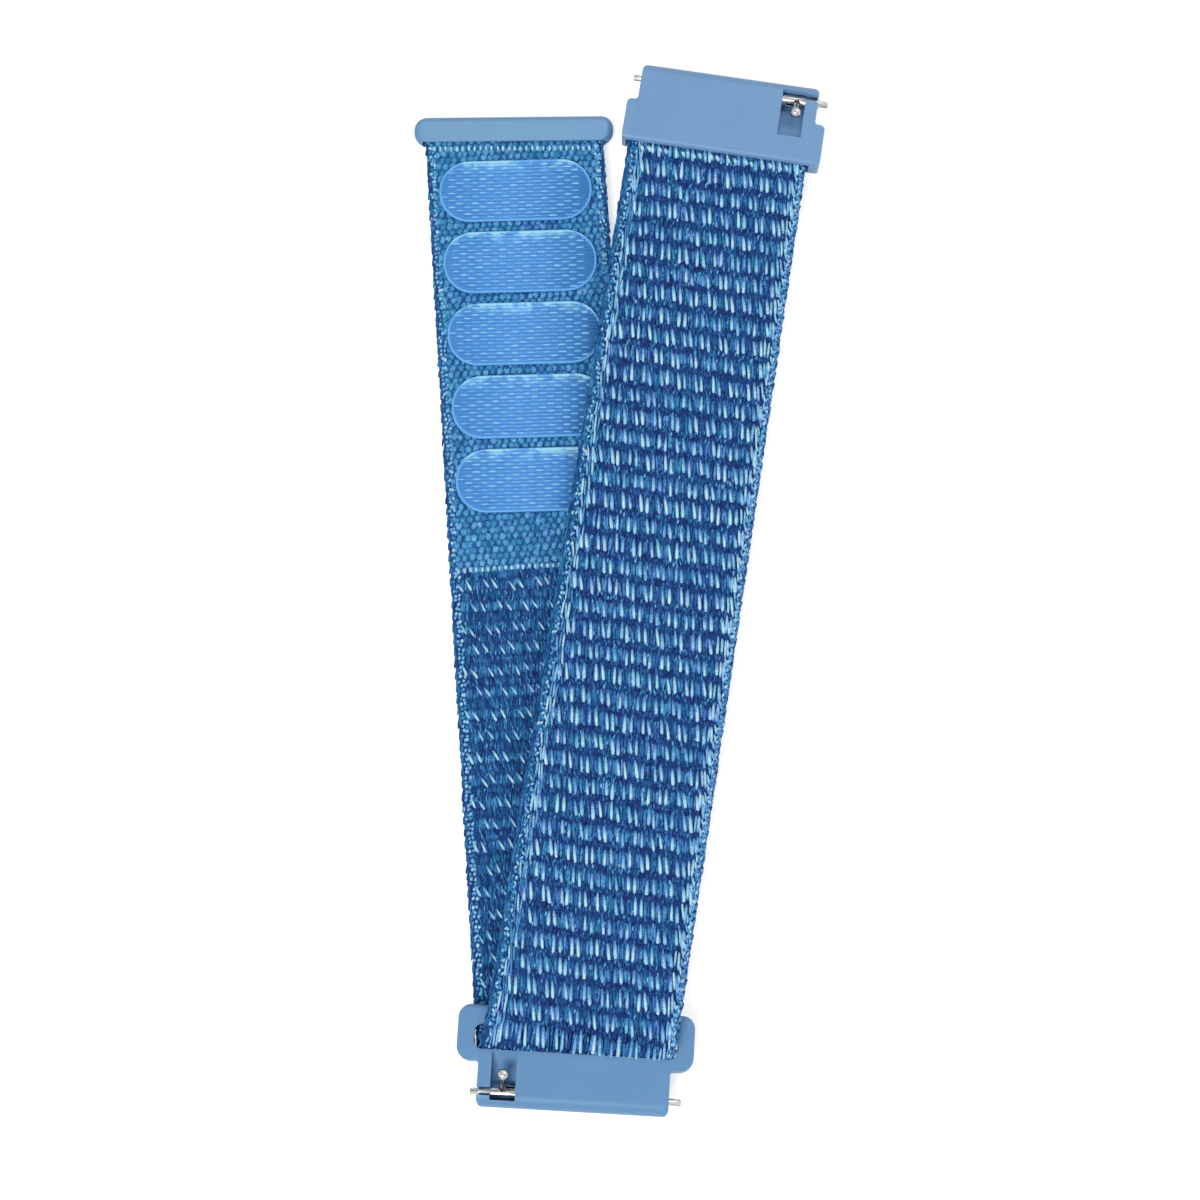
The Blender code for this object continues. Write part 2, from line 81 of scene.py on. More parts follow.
def add_node(tree, kind, inputs=(), **settings):
    """A node with its settings, and its inputs given as values or as other nodes' outputs."""
    node = tree.nodes.new(kind)
    for name, value in settings.items():
        setattr(node, name, value)
    for socket, value in dict(inputs).items():
        if isinstance(value, bpy.types.NodeSocket):
            tree.links.new(value, node.inputs[socket])
        else:
            node.inputs[socket].default_value = value
    return node


def worked_out(tree, operation, *values, **settings):
    """The result of one step of arithmetic."""
    inputs = dict(enumerate(values))
    return add_node(tree, "ShaderNodeMath", inputs, operation=operation, **settings).outputs[0]


def spread(tree, value, low, high, start=0.0, end=1.0):
    """A value carried from the range between start and end to the one between low and high."""
    ranges = {"From Min": start, "From Max": end, "To Min": low, "To Max": high}
    return add_node(tree, "ShaderNodeMapRange", {"Value": value, **ranges}).outputs[0]


def seen_directly(tree):
    """1 for what the camera sees, directly or in something shiny or clear, and 0 for other light."""
    ray = add_node(tree, "ShaderNodeLightPath").outputs
    shiny = worked_out(tree, "MAXIMUM", ray["Is Glossy Ray"], ray["Is Transmission Ray"])
    return worked_out(tree, "MAXIMUM", ray["Is Camera Ray"], shiny)


scene.view_settings.view_transform = "Standard"

lens = bpy.data.cameras.new("camera")
lens.lens = CAMERA_LENS
lens.sensor_width = 36.0
lens.clip_start = 0.01
camera = bpy.data.objects.new("camera", lens)
camera.location = CAMERA_PLACE
camera.rotation_euler = (CAMERA_TILT, 0, CAMERA_TURN)
scene.collection.objects.link(camera)
scene.camera = camera

surround = bpy.data.worlds.new("white surround")
scene.world = surround
surround.use_nodes = True
tree = surround.node_tree
tree.nodes.clear()
level = spread(tree, seen_directly(tree), SKY_STRENGTH, 1.0)
sky = add_node(tree, "ShaderNodeBackground", {"Color": (1, 1, 1, 1), "Strength": level})
add_node(tree, "ShaderNodeOutputWorld", {"Surface": sky.outputs[0]})

for name, place, power in LAMPS:
    light = bpy.data.lights.new(name, "AREA")
    light.shape = "DISK"
    light.size = LAMP_SIZE
    light.energy = power
    lamp = bpy.data.objects.new(name, light)
    lamp.location = place
    lamp.rotation_euler = (Vector(LAMP_AIM) - Vector(place)).to_track_quat("-Z", "Y").to_euler()
    scene.collection.objects.link(lamp)

floor_mesh = bpy.data.meshes.new("floor")
floor_mesh.from_pydata(
    [(x * FLOOR_HALF, y * FLOOR_HALF, FLOOR_LEVEL) for x, y in ((-1, -1), (1, -1), (1, 1), (-1, 1))],
    [],
    [(0, 1, 2, 3)],
)
floor = bpy.data.objects.new("floor", floor_mesh)
scene.collection.objects.link(floor)
white_table = bpy.data.materials.new("white table")
white_table.use_nodes = True
tree = white_table.node_tree
tree.nodes.clear()
paint = add_node(tree, "ShaderNodeBsdfDiffuse", {"Color": (FLOOR_WHITE, FLOOR_WHITE, FLOOR_WHITE, 1)})
glowing = worked_out(tree, "MULTIPLY", seen_directly(tree), FLOOR_GLOW)
glow = add_node(tree, "ShaderNodeEmission", {"Strength": glowing})
both = add_node(tree, "ShaderNodeAddShader", {0: paint.outputs[0], 1: glow.outputs[0]})
add_node(tree, "ShaderNodeOutputMaterial", {"Surface": both.outputs[0]})
floor_mesh.materials.append(white_table)


# The slotted connector, which fits between the watch's lugs and carries the band in its slot.
# It is injection moulded in satin blue nylon, with the small radius of the mould on every edge.
CONNECTOR_BLUE = (0.118, 0.284, 0.522)
MOULD_RADIUS = 0.00015
MOULD_STEPS = 3
NOSE_RADIUS = 0.00055  # where the nose between the lugs ends
NOSE_STEPS = 5
BAR_ROOM = 0.0010  # the rim of the spring bar's bore isn't drawn in
WELD_DISTANCE = 0.000001
FLAT_ANGLE = math.radians(1.0)
MOULD_CORNER = math.radians(32)  # edges sharper than this are rounded
SHARP_ANGLE = math.radians(40)
CLOUD_SHARES = (0.93, 1.07)  # of the colour, between which it varies


def link_piece(name, mesh):
    piece = bpy.data.objects.new(name, mesh)
    scene.collection.objects.link(piece)
    return piece


def rounded_nose(form, bar):
    """Draws in both ends of the nose that holds a spring bar, more towards its front."""
    centre, across = Vector(joints[bar]["pos_m"]), Vector(joints[bar]["axis"])
    along = across.cross((0, 0, 1))
    for way in (across, -across):
        nose = [vert.co - centre for vert in form.verts if (vert.co - centre).dot(along) > 0]
        reach = max(off.dot(way) for off in nose)
        for k in range(1, NOSE_STEPS + 1):
            depth = NOSE_RADIUS * (1 - math.cos(math.pi / 2 * k / NOSE_STEPS))
            bmesh.ops.bisect_plane(
                form,
                geom=form.verts[:] + form.edges[:] + form.faces[:],
                dist=WELD_DISTANCE,
                plane_co=centre + way * (reach - depth),
                plane_no=way,
            )
        for vert in form.verts:
            off = vert.co - centre
            depth = reach - off.dot(way)
            spoke = off - way * off.dot(way)
            if off.dot(along) <= 0 or depth >= NOSE_RADIUS or spoke.length < BAR_ROOM:
                continue
            inset = NOSE_RADIUS - math.sqrt(NOSE_RADIUS**2 - (NOSE_RADIUS - max(depth, 0)) ** 2)
            outward = spoke.normalized()
            vert.co -= outward * min(inset * outward.dot(along), spoke.length - BAR_ROOM)


def softened(node, name, radius, finish, corner=MOULD_CORNER, reshape=None):
    """A copy of a frame node's shape with rounded edges, which stands for that node."""
    mesh = nodes[node].data.copy()
    mesh.name = name
    form = bmesh.new()
    form.from_mesh(mesh)
    bmesh.ops.remove_doubles(form, verts=form.verts, dist=WELD_DISTANCE)
    bmesh.ops.dissolve_limit(form, angle_limit=FLAT_ANGLE, verts=form.verts, edges=form.edges)
    bmesh.ops.bevel(
        form,
        geom=[e for e in form.edges if len(e.link_faces) == 2 and e.calc_face_angle() > corner],
        offset=radius,
        offset_type="OFFSET",
        segments=MOULD_STEPS,
        profile=0.5,
        affect="EDGES",
        clamp_overlap=True,
    )
    if reshape:
        reshape(form)
    for face in form.faces:
        face.smooth = True
    form.to_mesh(mesh)
    form.free()
    mesh.set_sharp_from_angle(angle=SHARP_ANGLE)
    mesh.materials.clear()
    mesh.materials.append(finish)
    piece = link_piece(name, mesh)
    piece.modifiers.new("flat faces stay flat", "WEIGHTED_NORMAL").keep_sharp = True
    graph = bpy.context.evaluated_depsgraph_get()
    evened = bpy.data.meshes.new_from_object(piece.evaluated_get(graph))
    piece.modifiers.clear()
    piece.data = evened
    evened.name = name
    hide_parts(node)
    return piece


def new_finish(name):
    """A material, its tree, its shader and the place in the piece's own coordinates."""
    finish = bpy.data.materials.new(name)
    finish.use_nodes = True
    tree = finish.node_tree
    place = add_node(tree, "ShaderNodeTexCoord").outputs["Object"]
    return finish, tree, tree.nodes["Principled BSDF"], place


def noise(tree, place, scale, detail):
    inputs = {"Vector": place, "Scale": scale, "Detail": detail}
    return add_node(tree, "ShaderNodeTexNoise", inputs).outputs["Fac"]


def mixed(tree, share, first, second, **settings):
    """The first colour, and a share of the second."""
    inputs = {0: share, 6: first, 7: second}
    return add_node(tree, "ShaderNodeMix", inputs, data_type="RGBA", **settings).outputs[2]


def stored(tree, name):
    return add_node(tree, "ShaderNodeAttribute", attribute_name=name).outputs["Fac"]


def add_relief(tree, shader, height, strength, distance):
    inputs = {"Height": height, "Strength": strength, "Distance": distance}
    relief = add_node(tree, "ShaderNodeBump", inputs)
    tree.links.new(relief.outputs["Normal"], shader.inputs["Normal"])


def moulded_plastic(name, colour, painted_edge_shade_colour=None):
    """Satin plastic: a faint cloudiness in the colour and the fine grain of a spark-eroded mould, and
    painted shade on the round edges where an edge colour is given.
    """
    finish, tree, shader, place = new_finish(name)
    darker, lighter = ((*(share * value for value in colour), 1) for share in CLOUD_SHARES)
    tint = mixed(tree, noise(tree, place, scale=160.0, detail=3.0), darker, lighter)
    if painted_edge_shade_colour:
        # painted shade: the round edges take the darker edge colour
        tint = mixed(tree, stored(tree, "cap_edge_painted_shade"), tint, (*painted_edge_shade_colour, 1))
    tree.links.new(tint, shader.inputs["Base Color"])
    grain = noise(tree, place, scale=9000.0, detail=2.0)
    tree.links.new(spread(tree, grain, 0.36, 0.52), shader.inputs["Roughness"])
    add_relief(tree, shader, grain, strength=0.1, distance=0.00004)
    return finish


slotted_connector = softened(
    "slot_connector",
    "slotted_connector",
    MOULD_RADIUS,
    moulded_plastic("slotted connector plastic", CONNECTOR_BLUE),
    reshape=lambda form: rounded_nose(form, "slot_bar_roll"),
)
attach(slotted_connector, "slot_end")


# The quick-release spring bars, one in each connector, turned from stainless steel and polished.
# Each is a barrel with a fixed tip at one end and a sliding tip at the other, drawn in by a ball-ended knob.
STEEL = (0.66, 0.65, 0.64)
DULL_SHARE = 0.34  # of its brightness, in the marks of the turning
STEEL_RADIUS = 0.00003
STEEL_CORNER = math.radians(50)


def polished_steel():
    finish, tree, shader, place = new_finish("polished steel")
    drawn = add_node(tree, "ShaderNodeMapping", {"Vector": place, "Scale": (500.0, 4200.0, 4200.0)})
    marks = noise(tree, drawn.outputs[0], scale=1.0, detail=3.0)
    tree.links.new(spread(tree, marks, 0.12, 0.30), shader.inputs["Roughness"])
    duller = (*(DULL_SHARE * value for value in STEEL), 1)
    band = spread(tree, marks, 0.0, 1.0, start=0.35, end=0.6)
    tree.links.new(mixed(tree, band, duller, (*STEEL, 1)), shader.inputs["Base Color"])
    shader.inputs["Metallic"].default_value = 1.0
    return finish


steel = polished_steel()
for end in ("slot", "fixed"):
    bar, release = end + "_bar", end + "_release"
    for part, body in (("barrel", bar), ("fixed_tip", bar), ("sliding_tip", release), ("knob", release)):
        node = bar + "_" + part
        piece = softened(node, "steel_" + node, STEEL_RADIUS, steel, corner=STEEL_CORNER)
        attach(piece, body)
    nodes[bar + "_spring"].data.materials.clear()
    nodes[bar + "_spring"].data.materials.append(steel)


# The band: one strip of nylon woven double, with pairs of pale floats on its skin side, which faces up
# on the run, and slanting ones on its loop side, which faces up on the tail. It is laid out flat first,
# with X across, Y up the run from where the turn through the slot begins, and Z out of the skin side.
RUN_AXIS = joints["wrist_curl"]["axis"]
TAIL_AXIS = joints["tail_curl_1"]["axis"]
RUN_HEADING = math.atan2(RUN_AXIS[1], RUN_AXIS[0])
TAIL_HEADING = math.atan2(TAIL_AXIS[1], TAIL_AXIS[0])
RUN_UNDERSIDE, RUN_TOP = (corner[2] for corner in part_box("run_segment_3"))
BAND_THICKNESS = RUN_TOP - RUN_UNDERSIDE
FOLD_LEVEL = joints["fold_swivel"]["pos_m"][2]
BAR_Y = joints["fold_swivel"]["pos_m"][1]
TURN_RADIUS = RUN_TOP - BAND_THICKNESS / 2 - FOLD_LEVEL
TURN_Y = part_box("band_turn")[0][1] + TURN_RADIUS + BAND_THICKNESS / 2
TURN_LENGTH = math.pi * TURN_RADIUS
SIDE_SHIFT = 0.00073  # over the bar the run lies this far to the right, and the tail to the left
RUN_OVER_BAR = (BAR_Y - TURN_Y) / math.cos(RUN_HEADING)  # flat Y where the run crosses the outer bar
TAIL_OVER_BAR = -TURN_LENGTH - (BAR_Y - TURN_Y) / math.cos(TAIL_HEADING)
FULLNESS = 0.00043  # how far the loose turn bulges against the slot's edge
RUN_END = 0.1070  # from the outer bar, a little inside the fixed connector
TAIL_END = 0.1076  # inside the end cap
TURN_FILL = 0.00034  # how much thicker the cloth is where it is crowded in the slot


def lay_on_band(flat):
    """Carries flat points to where the band lies in the folded strap."""
    across, up, out = flat[:, 0], flat[:, 1], flat[:, 2]
    on_run, on_tail = up > 0, up < -TURN_LENGTH
    along = np.where(on_run, -up * math.cos(RUN_HEADING), -up)
    along = np.where(on_tail, TURN_LENGTH + (-up - TURN_LENGTH) * math.cos(TAIL_HEADING), along)
    share = np.clip(along / TURN_LENGTH, 0, 1)
    skew = TAIL_HEADING * share - RUN_HEADING * (1 - share)
    to_bar = BAR_Y - TURN_Y
    entry = SIDE_SHIFT + to_bar * math.tan(RUN_HEADING)
    leave = -SIDE_SHIFT + to_bar * math.tan(TAIL_HEADING)
    side = entry + (leave - entry) * share
    side = np.where(on_run, entry + along * math.tan(RUN_HEADING), side)
    side = np.where(on_tail, leave - (along - TURN_LENGTH) * math.tan(TAIL_HEADING), side)
    reach = along + across * np.sin(skew)
    angle = np.clip(reach, 0, TURN_LENGTH) / TURN_RADIUS
    radius = TURN_RADIUS + out + FULLNESS * np.sin(angle) ** 2
    straight = np.maximum(-reach, 0) + np.maximum(reach - TURN_LENGTH, 0)
    return np.stack(
        [
            side + across * np.cos(skew),
            TURN_Y - radius * np.sin(angle) + straight,
            FOLD_LEVEL + radius * np.cos(angle),
        ],
        axis=1,
    )


FLOAT_FULLNESS = 0.5  # half a float's thickness, as a share of its rise
HEEL_WIDTH = 0.22  # how much fuller a float is at its heel, where it dives in again
HEEL_PAINTED_HIGHLIGHT = 0.20  # and how much paler, a painted highlight on the heel
BLUNTNESS = 0.5  # how much broader its ends are than a plain oval's
LENGTH_SHARES = (0.88, 1.08)  # the range of the floats' lengths, widths and rises
WIDTH_SHARES = (0.82, 1.14)
RISE_SHARES = (0.85, 1.1)
NUDGE = 0.01  # keeps a whole number from being rounded down to the one below


def yarn_tree():
    """Rows of yarn floats in groups. Each float rises out of the cloth, arches over and dives in again."""
    tree = bpy.data.node_groups.new("rows of yarn floats", "GeometryNodeTree")

    def take(kind, **defaults):
        for name, value in defaults.items():
            socket = tree.interface.new_socket(name=name, in_out="INPUT", socket_type="NodeSocket" + kind)
            if value is not None:
                socket.default_value = value

    take("Geometry", holder=None)
    take("Int", rows=4, groups=4, yarns_in_group=1, row_number=0, sides=6, rings=7, seed=0)
    take("Float", row_pitch=0.0026, group_pitch=0.0021, yarn_pitch=0.0007, first_row=0.0, first_group=0.0)
    take("Float", stagger=0.5, length=0.002, odd_length=0.002, width=0.0004, rise=0.0003, level=0.0004)
    take("Float", slant=0.0, turned_slant=0.0, looseness=0.08, odd_shift=0.0, heel=0.0, dip=0.25)
    take("Float", row_slope=0.0, edge=0.0112, tint_high=1.0)
    take("Float", dark=0.1, light=0.9, odd_dark=0.1, odd_light=0.9)
    tree.interface.new_socket(name="cloth", in_out="OUTPUT", socket_type="NodeSocketGeometry")
    given = tree.nodes.new("NodeGroupInput").outputs

    def calc(operation, *values):
        return worked_out(tree, operation, *values)

    def vector(x, y, z):
        return add_node(tree, "ShaderNodeCombineXYZ", {"X": x, "Y": y, "Z": z}).outputs[0]

    def chance(low, high, salt):
        seed = calc("ADD", given["seed"], salt)
        return add_node(tree, "FunctionNodeRandomValue", {2: low, 3: high, "Seed": seed}).outputs[1]

    def either(share, first, second):
        rest = calc("SUBTRACT", 1.0, share)
        return calc("ADD", calc("MULTIPLY", first, rest), calc("MULTIPLY", second, share))

    def loose(amount, salt):
        return calc("MULTIPLY", chance(-1.0, 1.0, salt), calc("MULTIPLY", given["looseness"], amount))

    def marked(shape, name, value):
        """The shape, with a value stored at each of its points."""
        return add_node(
            tree,
            "GeometryNodeStoreNamedAttribute",
            {"Geometry": shape, "Name": name, "Value": value},
            data_type="FLOAT",
            domain="POINT",
        ).outputs[0]

    number = tree.nodes.new("GeometryNodeInputIndex").outputs[0]
    in_group = given["yarns_in_group"]
    in_row = calc("MULTIPLY", given["groups"], in_group)
    row = calc("FLOOR", calc("DIVIDE", calc("ADD", number, NUDGE), in_row))
    in_this_row = calc("SUBTRACT", number, calc("MULTIPLY", row, in_row))
    group = calc("FLOOR", calc("DIVIDE", calc("ADD", in_this_row, NUDGE), in_group))
    yarn = calc("SUBTRACT", in_this_row, calc("MULTIPLY", group, in_group))
    odd = calc("MODULO", calc("ADD", row, given["row_number"]), 2.0)

    group_place = calc("ADD", group, calc("MULTIPLY", odd, given["stagger"]))
    middle = calc("MULTIPLY", calc("SUBTRACT", in_group, 1.0), 0.5)
    yarn_place = calc("MULTIPLY", calc("SUBTRACT", yarn, middle), given["yarn_pitch"])
    x = calc("ADD", given["first_group"], calc("MULTIPLY", group_place, given["group_pitch"]))
    x = calc("ADD", calc("ADD", x, yarn_place), loose(calc("MULTIPLY", given["width"], 2.0), 1))
    y = calc("SUBTRACT", given["first_row"], calc("MULTIPLY", row, given["row_pitch"]))
    y = calc("ADD", y, calc("MULTIPLY", odd, given["odd_shift"]))
    y = calc("ADD", calc("ADD", y, calc("MULTIPLY", x, given["row_slope"])), loose(given["row_pitch"], 2))
    places = {"Count": calc("MULTIPLY", given["rows"], in_row), "Position": vector(x, y, given["level"])}
    points = add_node(tree, "GeometryNodePoints", places).outputs[0]

    ball_form = {"Segments": given["sides"], "Rings": given["rings"], "Radius": 1.0}
    ball = add_node(tree, "GeometryNodeMeshUVSphere", ball_form).outputs["Mesh"]
    turned = {"Geometry": ball, "Rotation": (math.pi / 2, 0, 0)}
    lying = add_node(tree, "GeometryNodeTransform", turned).outputs[0]
    position = tree.nodes.new("GeometryNodeInputPosition").outputs[0]
    at = add_node(tree, "ShaderNodeSeparateXYZ", {0: position}).outputs
    to_heel = calc("MULTIPLY", at["Y"], given["heel"])
    wider = calc("ADD", 1.0, calc("MULTIPLY", to_heel, HEEL_WIDTH))
    square = calc("MULTIPLY", at["Y"], at["Y"])
    bow = calc("SUBTRACT", 1.0, square)
    # painted shade: a float darker towards both ends, where it dives in; painted highlight: paler towards
    # its heel
    painted_end_darkening = calc("MULTIPLY", calc("MULTIPLY", square, square), given["dip"])
    float_painted_shade = calc("SUBTRACT", calc("MULTIPLY", to_heel, HEEL_PAINTED_HIGHLIGHT), painted_end_darkening)
    height = calc("ADD", calc("MULTIPLY", bow, wider), calc("MULTIPLY", at["Z"], FLOAT_FULLNESS))
    blunt = calc("ADD", 1.0, calc("MULTIPLY", square, BLUNTNESS))
    breadth = calc("MULTIPLY", calc("MULTIPLY", at["X"], wider), blunt)
    arched = {"Geometry": lying, "Position": vector(breadth, at["Y"], height)}
    arch = add_node(tree, "GeometryNodeSetPosition", arched).outputs[0]
    float_yarn = marked(arch, "painted_float_shade_and_fray_place", float_painted_shade)

    usual_length = either(odd, given["length"], given["odd_length"])
    size = vector(
        calc("MULTIPLY", calc("MULTIPLY", given["width"], 0.5), chance(*WIDTH_SHARES, 4)),
        calc("MULTIPLY", calc("MULTIPLY", usual_length, chance(*LENGTH_SHARES, 3)), 0.5),
        calc("MULTIPLY", given["rise"], chance(*RISE_SHARES, 5)),
    )
    alternate = calc("MULTIPLY", given["turned_slant"], calc("SUBTRACT", calc("MULTIPLY", odd, 2.0), 1.0))
    slant = calc("ADD", calc("ADD", given["slant"], alternate), loose(1.0, 6))
    shade = either(
        chance(0.0, 1.0, 7),
        either(odd, given["dark"], given["odd_dark"]),
        either(odd, given["light"], given["odd_light"]),
    )
    dyed = marked(points, "yarn_shade", shade)
    dyed = marked(dyed, "yarn_tint", chance(0.0, given["tint_high"], 8))
    inside = add_node(
        tree,
        "FunctionNodeCompare",
        {0: calc("ABSOLUTE", x), 1: given["edge"]},
        data_type="FLOAT",
        operation="LESS_THAN",
    )
    laid = add_node(
        tree,
        "GeometryNodeInstanceOnPoints",
        {
            "Points": dyed,
            "Selection": inside.outputs[0],
            "Instance": float_yarn,
            "Rotation": vector(0.0, 0.0, slant),
            "Scale": size,
        },
    )
    solid = add_node(tree, "GeometryNodeRealizeInstances", {0: laid.outputs[0]})
    tree.links.new(solid.outputs[0], tree.nodes.new("NodeGroupOutput").inputs[0])
    return tree


yarn_rows = yarn_tree()


def yarn_mesh(values):
    """The plain mesh of rows of floats. Odd rows are like the others where the values don't differ."""
    for name in ("length", "dark", "light"):
        values.setdefault("odd_" + name, values[name])
    holder = link_piece("holder", bpy.data.meshes.new("holder"))
    modifier = holder.modifiers.new("nodes", "NODES")
    modifier.node_group = yarn_rows
    for item in yarn_rows.interface.items_tree:
        if item.in_out == "INPUT" and item.name in values:
            modifier[item.identifier] = values[item.name]
    graph = bpy.context.evaluated_depsgraph_get()
    mesh = bpy.data.meshes.new_from_object(holder.evaluated_get(graph))
    bpy.data.objects.remove(holder, do_unlink=True)
    return mesh


def colour_by_level(tree, level, *stops):
    """The colour between the stops' colours at a level."""
    ramp = add_node(tree, "ShaderNodeValToRGB", {"Fac": level})
    elements = ramp.color_ramp.elements
    for element, (position, colour) in zip(elements, (stops[0], stops[-1])):
        element.position, element.color = position, (*colour, 1)
    for position, colour in stops[1:-1]:
        elements.new(position).color = (*colour, 1)
    return ramp.outputs["Color"]


def woven_nylon():
    """Yarn by its shade, from navy in the depth to pale blue on the floats, with painted shade at the
    floats' ends, a painted highlight at their heels, and fine fibres along it.
    """
    finish, tree, shader, place = new_finish("woven nylon")
    shade, float_painted_shade, tint = (stored(tree, name) for name in ("yarn_shade", "painted_float_shade_and_fray_place", "yarn_tint"))

    def speckle(scale, reach):
        return spread(tree, noise(tree, place, scale, detail=2.0), -reach, reach)

    # the painted shade and highlight along each float move its level
    level = worked_out(tree, "ADD", shade, float_painted_shade)
    for scale, reach in ((1500.0, 0.10), (5200.0, 0.28)):
        level = worked_out(tree, "ADD", level, speckle(scale, reach))
    teal = colour_by_level(
        tree,
        level,
        (0.00, (0.009, 0.026, 0.150)),
        (0.25, (0.014, 0.100, 0.295)),
        (0.50, (0.030, 0.240, 0.480)),
        (0.72, (0.125, 0.440, 0.760)),
        (1.00, (0.480, 0.860, 1.000)),
    )
    violet = colour_by_level(
        tree,
        level,
        (0.00, (0.010, 0.022, 0.150)),
        (0.25, (0.019, 0.072, 0.300)),
        (0.50, (0.050, 0.170, 0.500)),
        (0.72, (0.160, 0.380, 0.800)),
        (1.00, (0.560, 0.840, 1.000)),
    )
    patch = worked_out(tree, "ADD", tint, speckle(420.0, 0.6), use_clamp=True)
    fibres = add_node(tree, "ShaderNodeMapping", {"Vector": place, "Scale": (7000.0, 900.0, 3000.0)})
    fibre = noise(tree, fibres.outputs[0], scale=1.0, detail=2.0)
    streak = spread(tree, fibre, 0.78, 1.22)
    colour = mixed(tree, 1.0, mixed(tree, patch, teal, violet), streak, blend_type="MULTIPLY")
    tree.links.new(colour, shader.inputs["Base Color"])
    shader.inputs["Roughness"].default_value = 0.65
    shader.inputs["Specular IOR Level"].default_value = 0.15
    add_relief(tree, shader, fibre, strength=0.35, distance=0.00003)
    return finish


nylon = woven_nylon()

CORE_HALF_WIDTH = 0.01066
CORE_HALF_THICKNESS = 0.00045
CORE_STEP = 0.0007
CORE_EDGE_STEPS = 4
CORE_SHADE = 0.12
CORE_TINT = 0.3
HOOK_CORE_SHADE = 0.34
SKIN_ROW_PITCH = 0.002604
SKIN_FIRST_ROW = RUN_OVER_BAR + 0.1017 + SKIN_ROW_PITCH * 2
LOOP_ROW_PITCH = 0.00257
LOOP_FIRST_ROW = TAIL_OVER_BAR - 0.0512
HOOK_ZONE = TAIL_OVER_BAR - 0.0531
HOOK_LAST_LINE = TAIL_OVER_BAR - 0.1056
SKIN_LAST_LINE = RUN_OVER_BAR + 0.1040
HOOK_ROW_PITCH = 0.00078
LINE_ROOM = 0.0004  # to either side of a line that is one row

# Each kind of yarn says how its rows are laid, where that differs from the defaults of the tree above.
# Shades run from 0, navy, to 1, pale blue, and a heel of -1 or 1 puts the full end of each float, with its
# painted highlight, down or up the band. Every other row is odd. First, the skin face.
SKIN_FACE = (
    dict(  # the ground: blue between the floats, and short and navy where the rows meet, painted shade between the rows
        row_pitch=SKIN_ROW_PITCH / 2, group_pitch=0.00034, first_group=-0.0092, groups=54, length=0.00225,
        odd_length=0.00092, width=0.00037, rise=0.00018, level=0.00034, sides=5, rings=5, dark=0.26,
        light=0.66, odd_dark=0.06, odd_light=0.42, slant=0.14, looseness=0.14, dip=0.28,
    ),
    dict(  # short stray fibres on it, lighter and darker
        row_pitch=0.00087, group_pitch=0.00052, first_group=-0.0092, groups=36, length=0.0009,
        odd_length=0.0007, width=0.00017, rise=0.0001, level=0.00048, sides=4, rings=4, dark=0.05,
        light=0.62, odd_dark=0.16, odd_light=0.72, slant=0.1, looseness=0.3, dip=0.2,
    ),
    dict(  # painted shadow: navy patches in the hollows under the ends of the floats
        row_pitch=SKIN_ROW_PITCH, row_shift=-0.0013, group_pitch=0.0021, first_group=-0.00815, groups=9,
        yarns_in_group=2, yarn_pitch=0.0009, length=0.00064, odd_length=0.00056, width=0.0006, rise=0.0001,
        level=0.0005, rings=5, dark=0.0, light=0.22, slant=0.1, looseness=0.2, dip=0.0,
    ),
    dict(  # paler teal fluff over the tops of every other row
        row_pitch=2 * SKIN_ROW_PITCH, row_shift=-SKIN_ROW_PITCH + 0.0006, group_pitch=0.00036,
        first_group=-0.009, groups=52, length=0.0007, width=0.00024, rise=0.00016, level=0.00047, sides=5,
        rings=5, dark=0.42, light=0.78, looseness=0.3, stagger=0.0, tint_high=0.3,
    ),
    dict(  # the pale pairs, bright in every other row
        row_pitch=SKIN_ROW_PITCH, group_pitch=0.0021, first_group=-0.00845, groups=9, yarns_in_group=2,
        length=0.00232, odd_length=0.00206, width=0.00038, rise=0.00032, level=0.00044, dark=0.72,
        light=0.98, odd_dark=0.66, odd_light=0.94, odd_shift=-0.0001, slant=0.18, heel=-1.0, dip=0.24,
        looseness=0.1, rings=8,
    ),
)
SKIN_LAST_KNOTS = dict(  # the last row, cut short by the connector's mouth
    row_pitch=0.001, group_pitch=0.0021, first_group=-0.00865, groups=9, yarns_in_group=2,
    yarn_pitch=0.0008, stagger=0.0, length=0.00095, width=0.00042, rise=0.00034, level=0.00052, dark=0.86,
    light=1.0, slant=0.55, looseness=0.1, heel=-0.5,
)
LEFT_SELVAGE = (
    dict(  # fine yarns that run along the very edge
        row_pitch=0.0011, group_pitch=0.0002, first_group=-0.0107, groups=5, stagger=0.3, length=0.0017,
        width=0.00022, rise=0.00022, level=0.00028, dark=0.2, light=0.58, slant=-0.07, sides=5, rings=4,
        tint_high=0.4,
    ),
    dict(  # knots with light flecks
        row_pitch=0.0006, group_pitch=0.00032, first_group=-0.01012, groups=2, stagger=0.3, length=0.0006,
        odd_length=0.00072, width=0.0003, rise=0.00024, level=0.00044, dark=0.56, light=1.0, odd_dark=0.4,
        odd_light=0.94, turned_slant=0.5, looseness=0.3, dip=0.3, sides=5, rings=5, tint_high=0.5,
    ),
    dict(  # three thin pale columns beside the rows
        row_pitch=0.0019, group_pitch=0.0003, first_group=-0.00956, groups=3, length=0.0023,
        odd_length=0.0019, width=0.00028, rise=0.00028, level=0.00048, dark=0.58, light=1.0, odd_dark=0.48,
        odd_light=0.96, slant=0.06, looseness=0.14, dip=0.15, sides=5, rings=6,
    ),
)
